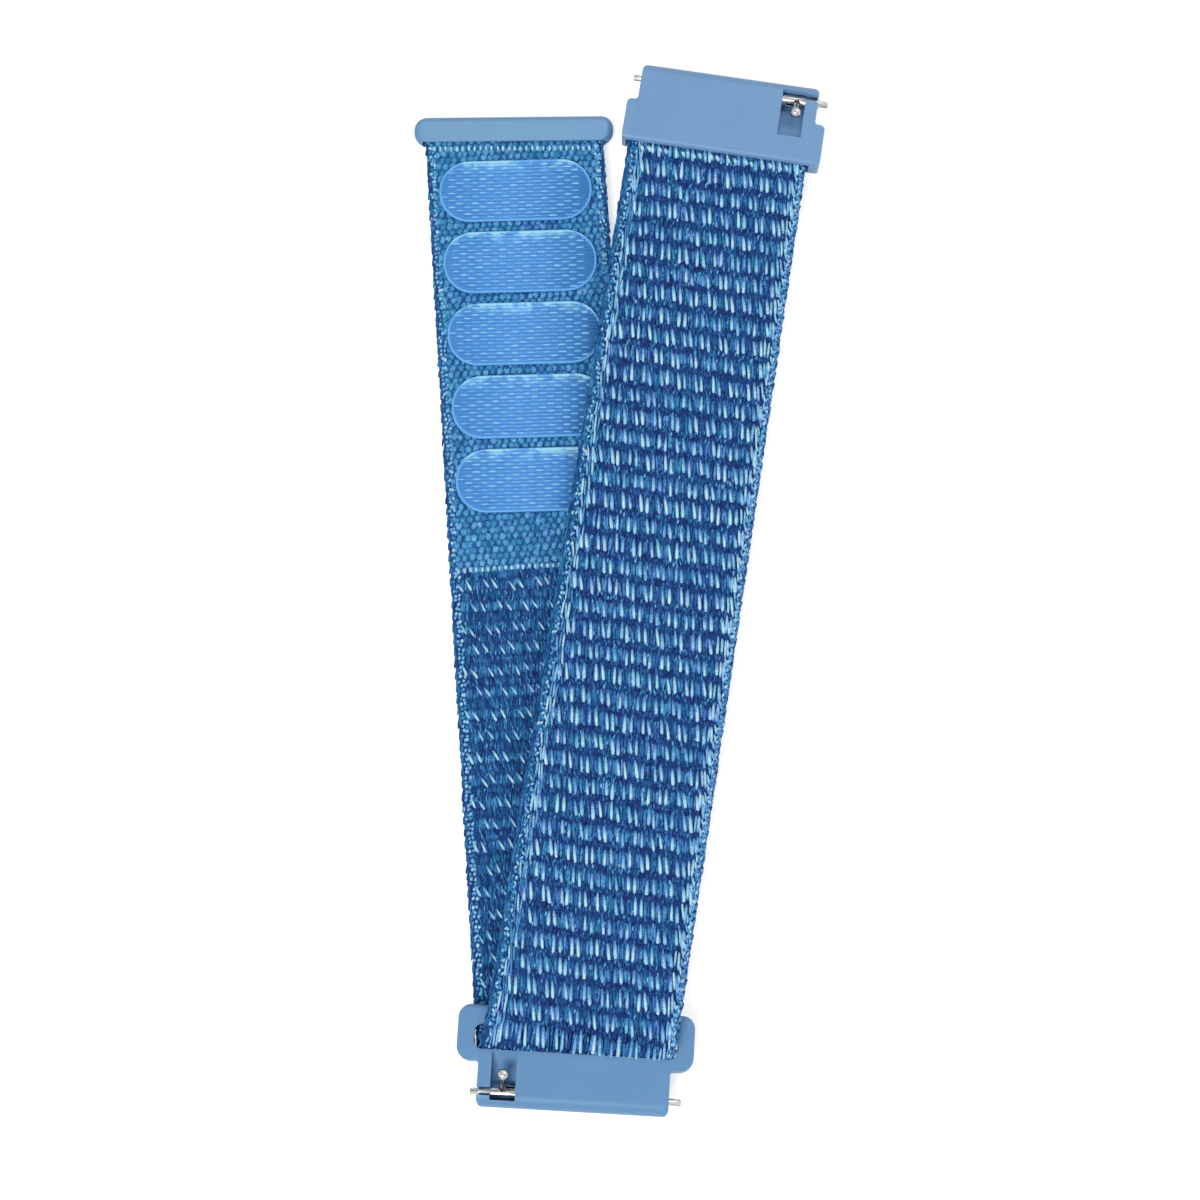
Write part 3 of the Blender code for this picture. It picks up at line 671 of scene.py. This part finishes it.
RIGHT_SELVAGE = (
    dict(  # two pale columns beside the rows
        row_pitch=0.0026, group_pitch=0.00042, first_group=0.00922, groups=2, length=0.0023,
        odd_length=0.0022, width=0.00034, rise=0.00032, level=0.00044, dark=0.78, light=1.0, odd_dark=0.72,
        slant=0.12, looseness=0.11, sides=5, rings=6,
    ),
    dict(  # pale streaks that lean outwards
        row_pitch=0.001, group_pitch=0.001, first_group=0.0099, groups=1, stagger=0.1, length=0.0013,
        odd_length=0.0011, width=0.00027, rise=0.00026, level=0.00044, dark=0.8, light=1.0, odd_dark=0.62,
        odd_light=0.96, slant=0.26, looseness=0.14, sides=5, rings=6,
    ),
    dict(  # the chain of the edge: light links that lean in and out by turns
        row_pitch=0.0005, group_pitch=0.00022, first_group=0.0102, groups=2, stagger=0.3, length=0.00078,
        odd_length=0.00072, width=0.00027, rise=0.00026, level=0.00038, dark=0.64, light=1.0,
        odd_dark=0.52, odd_light=0.9, turned_slant=0.45, looseness=0.14, dip=0.3, sides=5, rings=5,
    ),
    dict(  # its outer loops
        row_pitch=0.00085, group_pitch=0.001, first_group=0.01066, groups=1, stagger=0.0, length=0.0009,
        odd_length=0.00084, width=0.00034, rise=0.00026, level=0.00022, dark=0.5, light=0.78,
        odd_dark=0.46, odd_light=0.72, slant=-0.14, looseness=0.1, dip=0.5, sides=5, rings=5,
    ),
)
LOOP_FACE = (
    dict(  # the teal ground, dark where the rows meet with painted shade
        row_pitch=LOOP_ROW_PITCH / 2, group_pitch=0.00031, first_group=-0.0099, groups=64, length=0.0017,
        odd_length=0.0016, width=0.00034, rise=0.00018, level=0.00034, sides=5, rings=5, dark=0.3,
        light=0.62, odd_dark=0.14, odd_light=0.5, looseness=0.14, turned_slant=0.08, tint_high=0.6,
    ),
    dict(  # short stray fibres
        row_pitch=0.0009, group_pitch=0.00055, first_group=-0.0096, groups=35, length=0.0008,
        odd_length=0.0006, width=0.00018, rise=0.00011, level=0.00049, sides=4, rings=4, dark=0.12,
        light=0.72, odd_dark=0.26, odd_light=0.8, looseness=0.3, dip=0.15,
    ),
    dict(  # painted shade: navy patches in the hollows between the slanting pairs
        row_pitch=LOOP_ROW_PITCH, row_shift=0.0012, group_pitch=0.00152, first_group=-0.0088, groups=12,
        length=0.001, width=0.00034, rise=0.00012, level=0.00048, sides=5, rings=5, dark=0.02, light=0.22,
        slant=0.12, looseness=0.2, dip=0.0,
    ),
    dict(  # the slanting pale pairs
        row_pitch=LOOP_ROW_PITCH, group_pitch=0.00305, first_group=-0.0091, groups=7, yarns_in_group=2,
        yarn_pitch=0.001, stagger=0.53, length=0.00155, width=0.00029, rise=0.0003, level=0.00044,
        dark=0.74, light=0.96, slant=0.47, looseness=0.13, heel=1.0, dip=0.2, edge=0.0099,
    ),
)
HOOK_FACE = (
    dict(  # the close flat weave under the hook pads
        row_pitch=HOOK_ROW_PITCH, group_pitch=0.00084, first_group=-0.0099, groups=24, length=0.00106,
        width=0.00074, rise=0.00018, level=0.0004, sides=7, rings=6, dark=0.53, light=0.73, odd_dark=0.49,
        odd_light=0.69, slant=-0.4, looseness=0.12, dip=0.26, tint_high=0.5,
    ),
    dict(  # small dark dips in columns, painted shade between the lumps
        row_pitch=HOOK_ROW_PITCH, row_shift=0.0002, group_pitch=0.00084, first_group=-0.0095, groups=24,
        stagger=0.45, length=0.0007, odd_length=0.0006, width=0.00019, rise=0.0001, level=0.00052, sides=5,
        rings=4, dark=0.2, light=0.42, odd_dark=0.24, odd_light=0.5, slant=-0.6, looseness=0.22, dip=0.0,
        tint_high=0.5,
    ),
)
LINE_OF_TICKS = dict(  # one row, where the loops begin, and again at the end cap
    row_pitch=0.001, group_pitch=0.0007, first_group=-0.0098, groups=29, stagger=0.0, length=0.00072,
    width=0.00038, rise=0.00028, level=0.00046, dark=0.9, light=1.0, slant=-0.1, dip=0.2,
)
LINE_AT_CAP = dict(  # which lies along the cap's skew edge
    LINE_OF_TICKS, row_slope=-0.056, dark=0.86, light=0.98, tint_high=0.2, width=0.00034, length=0.00084,
    slant=0.0,
)
LOOP_EDGE = (
    dict(  # dark fine yarns along the very edge
        row_pitch=0.00071, group_pitch=0.0002, first_group=0.01046, groups=2, stagger=0.4, length=0.0011,
        width=0.00027, rise=0.0002, level=0.00026, dark=0.16, light=0.56, odd_light=0.6, slant=-0.12,
        looseness=0.12, sides=5, rings=4,
    ),
    dict(  # light flecks beside them
        row_pitch=0.00054, group_pitch=0.00034, first_group=0.00984, groups=2, stagger=0.4, length=0.00058,
        odd_length=0.0005, width=0.00036, rise=0.00022, level=0.00042, dark=0.72, light=0.98,
        odd_dark=0.52, odd_light=0.86, slant=-0.4, looseness=0.22, dip=0.3, sides=5, rings=5,
        tint_high=0.5,
    ),
)
LOOP_EDGE += tuple(  # and the same along the other edge
    dict(kind, first_group=-kind["first_group"], group_pitch=-kind["group_pitch"], slant=-kind["slant"])
    for kind in LOOP_EDGE
)


def shaded_mesh(name, points, faces, shades):
    """A mesh with a shade at each of its points."""
    mesh = bpy.data.meshes.new(name)
    mesh.from_pydata(points, [], faces)
    mesh.attributes.new("yarn_shade", "FLOAT", "POINT").data.foreach_set("value", shades)
    return mesh


def cloth_body(low, high):
    """The body of the cloth between its faces, laid out flat. Its edges are round, and it is thicker
    where it is crowded in the slot."""
    section = []
    for side, first in ((1, -90), (-1, 90)):
        for k in range(CORE_EDGE_STEPS + 1):
            turn = math.radians(first + 180 * k / CORE_EDGE_STEPS)
            x = side * (CORE_HALF_WIDTH - CORE_HALF_THICKNESS) + CORE_HALF_THICKNESS * math.cos(turn)
            section.append((x, CORE_HALF_THICKNESS * math.sin(turn)))
    count = math.ceil((high - low) / CORE_STEP)
    points = []
    for i in range(count + 1):
        y = low + (high - low) * i / count
        crowded = math.sin(math.pi * min(max(-y / TURN_LENGTH, 0), 1)) ** 2
        points += [(x, y, z * (1 + TURN_FILL / CORE_HALF_THICKNESS * crowded)) for x, z in section]
    ring = len(section)
    faces = [
        (i * ring + j, (i + 1) * ring + j, (i + 1) * ring + (j + 1) % ring, i * ring + (j + 1) % ring)
        for i in range(count)
        for j in range(ring)
    ]
    faces += [tuple(range(ring)), tuple(reversed(range(count * ring, (count + 1) * ring)))]
    shades = [HOOK_CORE_SHADE if y < HOOK_ZONE and z < 0 else CORE_SHADE for x, y, z in points]
    mesh = shaded_mesh("cloth body", points, faces, shades)
    tints = [CORE_TINT] * len(points)
    mesh.attributes.new("yarn_tint", "FLOAT", "POINT").data.foreach_set("value", tints)
    return mesh


def read(items, name, width=1, kind=np.float32):
    """One property of all of a mesh's points, corners or faces."""
    values = np.zeros(len(items) * width, kind)
    items.foreach_get(name, values)
    return values


def yarns(kind, low, high, first_row, seed, face):
    """One kind of yarn on the stretch of cloth between two flat Y, laid out flat on its face."""
    pitch = kind["row_pitch"]
    first_row += kind.get("row_shift", 0.0)
    skipped = math.ceil((first_row - high) / pitch)
    rows = math.ceil((first_row - low) / pitch) - skipped
    start = first_row - skipped * pitch
    mesh = yarn_mesh(dict(kind, rows=rows, row_number=skipped % 2, first_row=start, seed=seed))
    if face == "loop":
        points = read(mesh.vertices, "co", 3).reshape(-1, 3) * (-1, 1, -1)
        mesh.vertices.foreach_set("co", points.astype(np.float32).ravel())
    return mesh


def joined(name, meshes, finish=nylon, lay=lay_on_band):
    """One mesh of several flat ones, carried to its place on the band."""
    points, loops, starts, shades = [], [], [], {"yarn_shade": [], "painted_float_shade_and_fray_place": [], "yarn_tint": []}
    point_count = loop_count = 0
    for mesh in meshes:
        points.append(read(mesh.vertices, "co", 3).reshape(-1, 3))
        loops.append(read(mesh.loops, "vertex_index", kind=np.int32) + point_count)
        starts.append(read(mesh.polygons, "loop_start", kind=np.int32) + loop_count)
        for attribute, values in shades.items():
            if attribute in mesh.attributes:
                values.append(read(mesh.attributes[attribute].data, "value"))
            else:
                values.append(np.zeros(len(mesh.vertices), np.float32))
        point_count += len(mesh.vertices)
        loop_count += len(mesh.loops)
        bpy.data.meshes.remove(mesh)
    whole = bpy.data.meshes.new(name)
    whole.vertices.add(point_count)
    whole.loops.add(loop_count)
    starts = np.concatenate(starts)
    whole.polygons.add(len(starts))
    whole.vertices.foreach_set("co", lay(np.concatenate(points).astype(float)).astype(np.float32).ravel())
    whole.loops.foreach_set("vertex_index", np.concatenate(loops))
    whole.polygons.foreach_set("loop_start", starts)
    whole.update(calc_edges=True)
    whole.polygons.foreach_set("use_smooth", np.ones(len(starts), bool))
    for attribute, values in shades.items():
        whole.attributes.new(attribute, "FLOAT", "POINT").data.foreach_set("value", np.concatenate(values))
    whole.materials.append(finish)
    return whole


def woven(low, high, seed):
    """The cloth between two flat Y: its body, the skin face, the loop face and both selvages."""
    rows = [(kind, low, high, SKIN_FIRST_ROW, "skin") for kind in SKIN_FACE + LEFT_SELVAGE + RIGHT_SELVAGE]
    rows += [(kind, low, high, LOOP_FIRST_ROW, "loop") for kind in LOOP_EDGE]
    for kinds, start, end, first_row in (
        (LOOP_FACE, max(low, HOOK_ZONE), high, LOOP_FIRST_ROW),
        (HOOK_FACE, low, min(high, HOOK_ZONE), HOOK_ZONE - HOOK_ROW_PITCH),
    ):
        if start < end:
            rows += [(kind, start, end, first_row, "loop") for kind in kinds]
    for kind, line, face in (
        (LINE_OF_TICKS, HOOK_ZONE, "loop"),
        (LINE_AT_CAP, HOOK_LAST_LINE, "loop"),
        (SKIN_LAST_KNOTS, SKIN_LAST_LINE, "skin"),
    ):
        if low < line < high:
            rows.append((kind, line - LINE_ROOM, line + LINE_ROOM, line, face))
    meshes = [cloth_body(low, high)]
    for k, (kind, start, end, first_row, face) in enumerate(rows):
        meshes.append(yarns(kind, start, end, first_row, seed + 10 * k, face))
    return meshes


# Where each stretch of cloth begins on the run or tail, the joint that it bends at, and how far before and
# after the joint it bends. Places are measured along the band from the outer bar.
RUN_STRETCHES = (
    (0.0, "run_lift", 0.0038, 0.0038),
    (0.011, "wrist_curl", 0.0085, 0.0085),
    (0.030, "run_curl_2", 0.0085, 0.0085),
    (0.050, "run_curl_3", 0.0085, 0.0085),
    (0.070, "run_curl_4", 0.0085, 0.0085),
    (0.090, "fixed_connector_flex", 0.0034, 0.0034),
)
TAIL_STRETCHES = (
    (0.0, "tail_fan", 0.0020, 0.0090),
    (0.0130, "tail_curl_1", 0.0080, 0.0080),
    (0.0330, "tail_curl_2", 0.0078, 0.0078),
    (0.0500, "tail_curl_3", 0.0078, 0.0078),
    (0.06808, "tail_curl_4", 0.0078, 0.0078),
    (0.08632, "tail_curl_5", 0.0078, 0.0078),
)

turn_piece = link_piece("band_turn_weave", joined("band_turn_weave", woven(-TURN_LENGTH, 0.0, 100)))
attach(turn_piece, "fold")
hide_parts("band_turn")


def blend_on_band(piece):
    """Bakes the placing of a piece of the run or tail into its mesh."""
    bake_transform(piece)


for name, stretches, side, heading, over_bar, length in (
    ("run", RUN_STRETCHES, 1, RUN_HEADING, RUN_OVER_BAR, RUN_END),
    ("tail", TAIL_STRETCHES, -1, TAIL_HEADING, TAIL_OVER_BAR, TAIL_END),
):
    for k, stretch in enumerate(stretches):
        end = stretches[k + 1][0] if k + 1 < len(stretches) else length
        first = over_bar + side * stretch[0] if k else (0.0 if side > 0 else -TURN_LENGTH)
        low, high = sorted((first, over_bar + side * end))
        title = f"{name}_weave_{k + 1}"
        piece = link_piece(title, joined(title, woven(low, high, 1000 * (k + 1) + 500 * side)))
        blend_on_band(piece)
        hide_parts(f"{name}_segment_{k + 1}")


# The five hook pads: patches of nylon hook strip, cut with round ends and welded to the tail. Short stiff
# hooks stand on them in rows, each row stepped half a place from the next, inside a pressed rim.
PAD_HALF_LENGTH = 0.00925
PAD_HALF_DEPTH = 0.0039
PAD_RADIUS = 0.0037
PAD_BASE = -0.0007  # flat Z of the face that the pads lie on
PAD_HEIGHT = 0.00030
PAD_RIM = 0.00020
FIELD_DEPTH = 0.00006  # how far the field lies below the rim
RIB_RISE = 0.00004
PAD_SHIFT = -0.00025
PAD_SKEW = math.radians(-2.24)
PAD_CORNER_STEPS = 10
PAD_PLACES = (0.1000, 0.09088, 0.08176, 0.07264, 0.06352)
PAD_STRETCHES = (5, 5, 4, 4, 3)  # the stretch of the tail that each lies on
RIB_PITCH = 0.000444
RIB_HALF_SHARE = 0.48  # half a rib's breadth, as a share of their pitch
RIB_COUNT = int((2 * PAD_HALF_DEPTH - 2 * PAD_RIM) / RIB_PITCH)
RIB_ROUNDING = 4  # faces across one rib
RIB_FOOT = RIB_RISE * 0.3  # how deep a rib's foot is sunk in the field
RIB_FOOT_PAINTED_SHADE = 0.16  # painted shade at its foot, where the ribs meet
RIB_TOP_PAINTED_HIGHLIGHT = 0.27  # and how much paler it is on top, a painted highlight
DASH_PITCH = 0.001876
DASH_MARGIN = 0.0006
FRAY_START = 0.55  # the share of the half depth past which the hooks are frayed, towards the cap
PAD_DASHES = dict(
    rows=2 * int(PAD_HALF_LENGTH / DASH_PITCH * 2), groups=RIB_COUNT // 2 + 1, row_pitch=DASH_PITCH / 2,
    group_pitch=RIB_PITCH * 2, first_row=PAD_HALF_LENGTH - DASH_MARGIN,
    first_group=-(RIB_COUNT - 1) / 2 * RIB_PITCH, length=0.001, width=0.00025, rise=0.00007,
    level=PAD_HEIGHT - FIELD_DEPTH + RIB_RISE * 0.6, looseness=0.03, dark=0.66, light=0.9, sides=5,
    rings=5, dip=0.1,
)


def hook_strip():
    """Pale blue hooks in blotches, with brighter loose ends along one edge."""
    finish, tree, shader, place = new_finish("hook strip")
    blotch = noise(tree, place, scale=900.0, detail=3.0)
    level = worked_out(tree, "ADD", stored(tree, "yarn_shade"), spread(tree, blotch, -0.12, 0.12))
    # on the pads this attribute holds each point's place towards the cap, not painted shade
    near_edge = spread(tree, stored(tree, "painted_float_shade_and_fray_place"), 0.0, 1.0, start=FRAY_START)
    tuft = noise(tree, place, scale=620.0, detail=4.0)
    loose_end = spread(tree, tuft, 0.0, 0.85, start=0.42, end=0.60)
    level = worked_out(tree, "ADD", level, worked_out(tree, "MULTIPLY", near_edge, loose_end))
    colour = colour_by_level(
        tree,
        level,
        (0.0, (0.032, 0.180, 0.540)),
        (0.4, (0.082, 0.330, 0.790)),
        (0.7, (0.150, 0.480, 0.910)),
        (1.0, (0.340, 0.720, 1.000)),
    )
    tree.links.new(colour, shader.inputs["Base Color"])
    shader.inputs["Roughness"].default_value = 0.45
    add_relief(tree, shader, blotch, strength=0.2, distance=0.00004)
    return finish


hook_finish = hook_strip()


def stadium(inset):
    """The pad's outline, drawn in by a distance."""
    radius = PAD_RADIUS - inset
    points = []
    for sx, sy, first in ((1, 1, 0), (-1, 1, 90), (-1, -1, 180), (1, -1, 270)):
        for k in range(PAD_CORNER_STEPS + 1):
            turn = math.radians(first + 90 * k / PAD_CORNER_STEPS)
            x = sx * (PAD_HALF_LENGTH - PAD_RADIUS) + radius * math.cos(turn)
            points.append((x, sy * (PAD_HALF_DEPTH - PAD_RADIUS) + radius * math.sin(turn)))
    return points


def pad_base():
    """The pad's flat body: its wall, a raised pale rim and the field a little lower."""
    levels = (  # how far in, how high and how pale
        (0.0, 0.0, 0.50),
        (0.0, PAD_HEIGHT * 0.75, 0.60),
        (PAD_RIM * 0.3, PAD_HEIGHT, 0.66),
        (PAD_RIM, PAD_HEIGHT, 0.62),
        (PAD_RIM * 1.5, PAD_HEIGHT - FIELD_DEPTH, 0.30),
    )
    points, shades, faces = [], [], []
    for inset, height, shade in levels:
        ring = stadium(inset)
        points += [(x, y, height) for x, y in ring]
        shades += [shade] * len(ring)
    count = len(ring)
    for i in range(len(levels) - 1):
        for j in range(count):
            k = (j + 1) % count
            faces.append((i * count + j, i * count + k, (i + 1) * count + k, (i + 1) * count + j))
    faces.append(tuple(reversed(range(count))))
    faces.append(tuple(range((len(levels) - 1) * count, len(levels) * count)))
    return shaded_mesh("pad base", points, faces, shades)


def pad_ribs():
    """The field's ribs, each a low rounded bar across the pad, with painted shade at its foot, a dark line
    between two, and a painted highlight on its top.
    """
    points, shades, faces = [], [], []
    radius = PAD_RADIUS - PAD_RIM * 1.2
    for k in range(RIB_COUNT):
        middle = (k - (RIB_COUNT - 1) / 2) * RIB_PITCH
        over = max(abs(middle) + RIB_PITCH / 2 - (PAD_HALF_DEPTH - PAD_RADIUS), 0)
        half = PAD_HALF_LENGTH - PAD_RADIUS + math.sqrt(max(radius**2 - over**2, 0))
        first = len(points)
        for x in (-half, half):
            for j in range(RIB_ROUNDING + 1):
                turn = math.pi * j / RIB_ROUNDING
                rise = PAD_HEIGHT - FIELD_DEPTH - RIB_FOOT + (RIB_RISE + RIB_FOOT) * math.sin(turn)
                points.append((x, middle - math.cos(turn) * RIB_PITCH * RIB_HALF_SHARE, rise))
                # painted shade at the foot, rising to a painted highlight on top
                shades.append(RIB_FOOT_PAINTED_SHADE + RIB_TOP_PAINTED_HIGHLIGHT * math.sin(turn))
        ring = RIB_ROUNDING + 1
        for j in range(ring):
            n = (j + 1) % ring
            faces.append((first + j, first + ring + j, first + ring + n, first + n))
        faces.append(tuple(range(first, first + ring)))
        faces.append(tuple(reversed(range(first + ring, first + 2 * ring))))
    return shaded_mesh("pad ribs", points, faces, shades)


def pad_dashes(seed):
    """The pale dashes of hooks on the ribs, without those that would reach the rim."""
    dashes = yarn_mesh(dict(PAD_DASHES, seed=seed))
    form = bmesh.new()
    form.from_mesh(dashes)
    limit_x, limit_y = PAD_HALF_LENGTH - PAD_RADIUS, PAD_HALF_DEPTH - PAD_RADIUS
    doomed = []
    for vert in form.verts:
        vert.co.x, vert.co.y = vert.co.y, -vert.co.x
        over = math.hypot(max(abs(vert.co.x) - limit_x, 0), max(abs(vert.co.y) - limit_y, 0))
        if over > PAD_RADIUS - PAD_RIM * 0.6 or abs(vert.co.y) > PAD_HALF_DEPTH - PAD_RIM * 1.6:
            doomed.append(vert)
    links = set(doomed)
    while doomed:
        for edge in doomed.pop().link_edges:
            for vert in edge.verts:
                if vert not in links:
                    links.add(vert)
                    doomed.append(vert)
    bmesh.ops.delete(form, geom=list(links), context="VERTS")
    form.to_mesh(dashes)
    form.free()
    return dashes


def lay_on_pad(points, middle):
    """Carries a pad's own points to its place on the band, whose middle is at this flat Y."""
    across, upward = math.cos(PAD_SKEW), math.sin(PAD_SKEW)
    x = PAD_SHIFT - (points[:, 0] * across - points[:, 1] * upward)
    y = middle + points[:, 0] * upward + points[:, 1] * across
    return lay_on_band(np.stack([x, y, PAD_BASE - points[:, 2]], axis=1))


for k, (place, stretch) in enumerate(zip(PAD_PLACES, PAD_STRETCHES)):
    layers = [pad_base(), pad_ribs(), pad_dashes(900 + 10 * k)]
    # each point's place towards the cap takes the place of the floats' painted shade in the shared attribute
    for layer in layers:
        fray = layer.attributes.get("painted_float_shade_and_fray_place") or layer.attributes.new("painted_float_shade_and_fray_place", "FLOAT", "POINT")
        for vert, share in zip(layer.vertices, fray.data):
            share.value = -vert.co.y / PAD_HALF_DEPTH
    title = f"hook_strip_pad_{k + 1}"
    middle = TAIL_OVER_BAR - place
    mesh = joined(title, layers, hook_finish, lambda points: lay_on_pad(points, middle))
    piece = link_piece(title, mesh)
    blend_on_band(piece)
    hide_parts(f"hook_pad_{k + 1}")


# The end cap: a moulded bar with round ends, of a satin plastic like the connectors'. It is pressed and
# welded over the tail's cut end, and sits a little askew.
CAP_BLUE = (0.185, 0.375, 0.620)
# painted shade: the cap's round edges get a darker colour of their own
CAP_EDGE_PAINTED_SHADE = (0.070, 0.200, 0.400)  # the round edges, which look darker in the photograph
CAP_RADIUS = 0.00004
CAP_ROUNDING = 0.00096  # of its upper and lower edges
CAP_ROUNDING_STEPS = 6
CAP_CORNER = 0.00155  # its outline's radius at the ends
CAP_HEADING = TAIL_HEADING + math.radians(-3.2)
LIP_SHARE = 0.2  # of the rounding, left to the thin lips over the cloth
WALL_SHARE = 0.94  # of the corner's radius, past which a point is on the cap's wall


def rounded_cap(form):
    """Draws the outline in towards the top and the bottom, as a round edge does, and marks the round for
    painted shade.
    """
    low, high = (Vector(corner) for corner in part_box("end_cap"))
    middle = (low + high) / 2
    half_height = (high.z - low.z) / 2
    along = Vector((math.cos(CAP_HEADING), math.sin(CAP_HEADING), 0))
    ways = along, Vector((-along.y, along.x, 0))
    reaches = [max((vert.co - middle).dot(way) for vert in form.verts) - CAP_CORNER for way in ways]
    for k in range(CAP_ROUNDING_STEPS):
        share = math.sin(math.pi / 2 * k / CAP_ROUNDING_STEPS)
        for side in (1, -1):
            bmesh.ops.bisect_plane(
                form,
                geom=form.verts[:] + form.edges[:] + form.faces[:],
                dist=WELD_DISTANCE,
                plane_co=middle + Vector((0, 0, side * (half_height - CAP_ROUNDING * (1 - share)))),
                plane_no=(0, 0, 1),
            )
    # a layer for the painted shade on the round edges
    edge = form.verts.layers.float.new("cap_edge_painted_shade")
    for vert in form.verts:
        off = vert.co - middle
        outward = Vector((0, 0, 0))
        for way, reach in zip(ways, reaches):
            past = off.dot(way)
            outward += way * math.copysign(max(abs(past) - reach, 0), past)
        rise = max(abs(off.z) - half_height + CAP_ROUNDING, 0)
        if outward.length > CAP_CORNER * WALL_SHARE:
            inset = CAP_ROUNDING - math.sqrt(max(CAP_ROUNDING**2 - rise**2, 0))
            inward = -outward.normalized()
            if inward.dot(ways[1]) > 0:
                inward -= ways[1] * inward.dot(ways[1]) * (1 - LIP_SHARE)
            vert.co += inward * inset
            # painted shade, full at the middle of the wall and none where the rounding meets the top and
            # bottom
            vert[edge] = math.sqrt(1 - min(rise / CAP_ROUNDING, 1))


end_cap = softened(
    "end_cap",
    "tail_end_cap",
    CAP_RADIUS,
    moulded_plastic("end cap plastic", CAP_BLUE, CAP_EDGE_PAINTED_SHADE),
    reshape=rounded_cap,
)
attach(end_cap, "tail_6")


# The fixed connector: injection moulded like the slotted one, with a spring bar of its own. Its mouth is
# closed on the band's end, which it grips.
FIXED_CONNECTOR_BLUE = (0.168, 0.338, 0.590)

fixed_connector = softened(
    "fixed_connector",
    "band_end_connector",
    MOULD_RADIUS,
    moulded_plastic("fixed connector plastic", FIXED_CONNECTOR_BLUE),
    reshape=lambda form: rounded_nose(form, "fixed_bar_roll"),
)
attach(fixed_connector, "fixed_end")
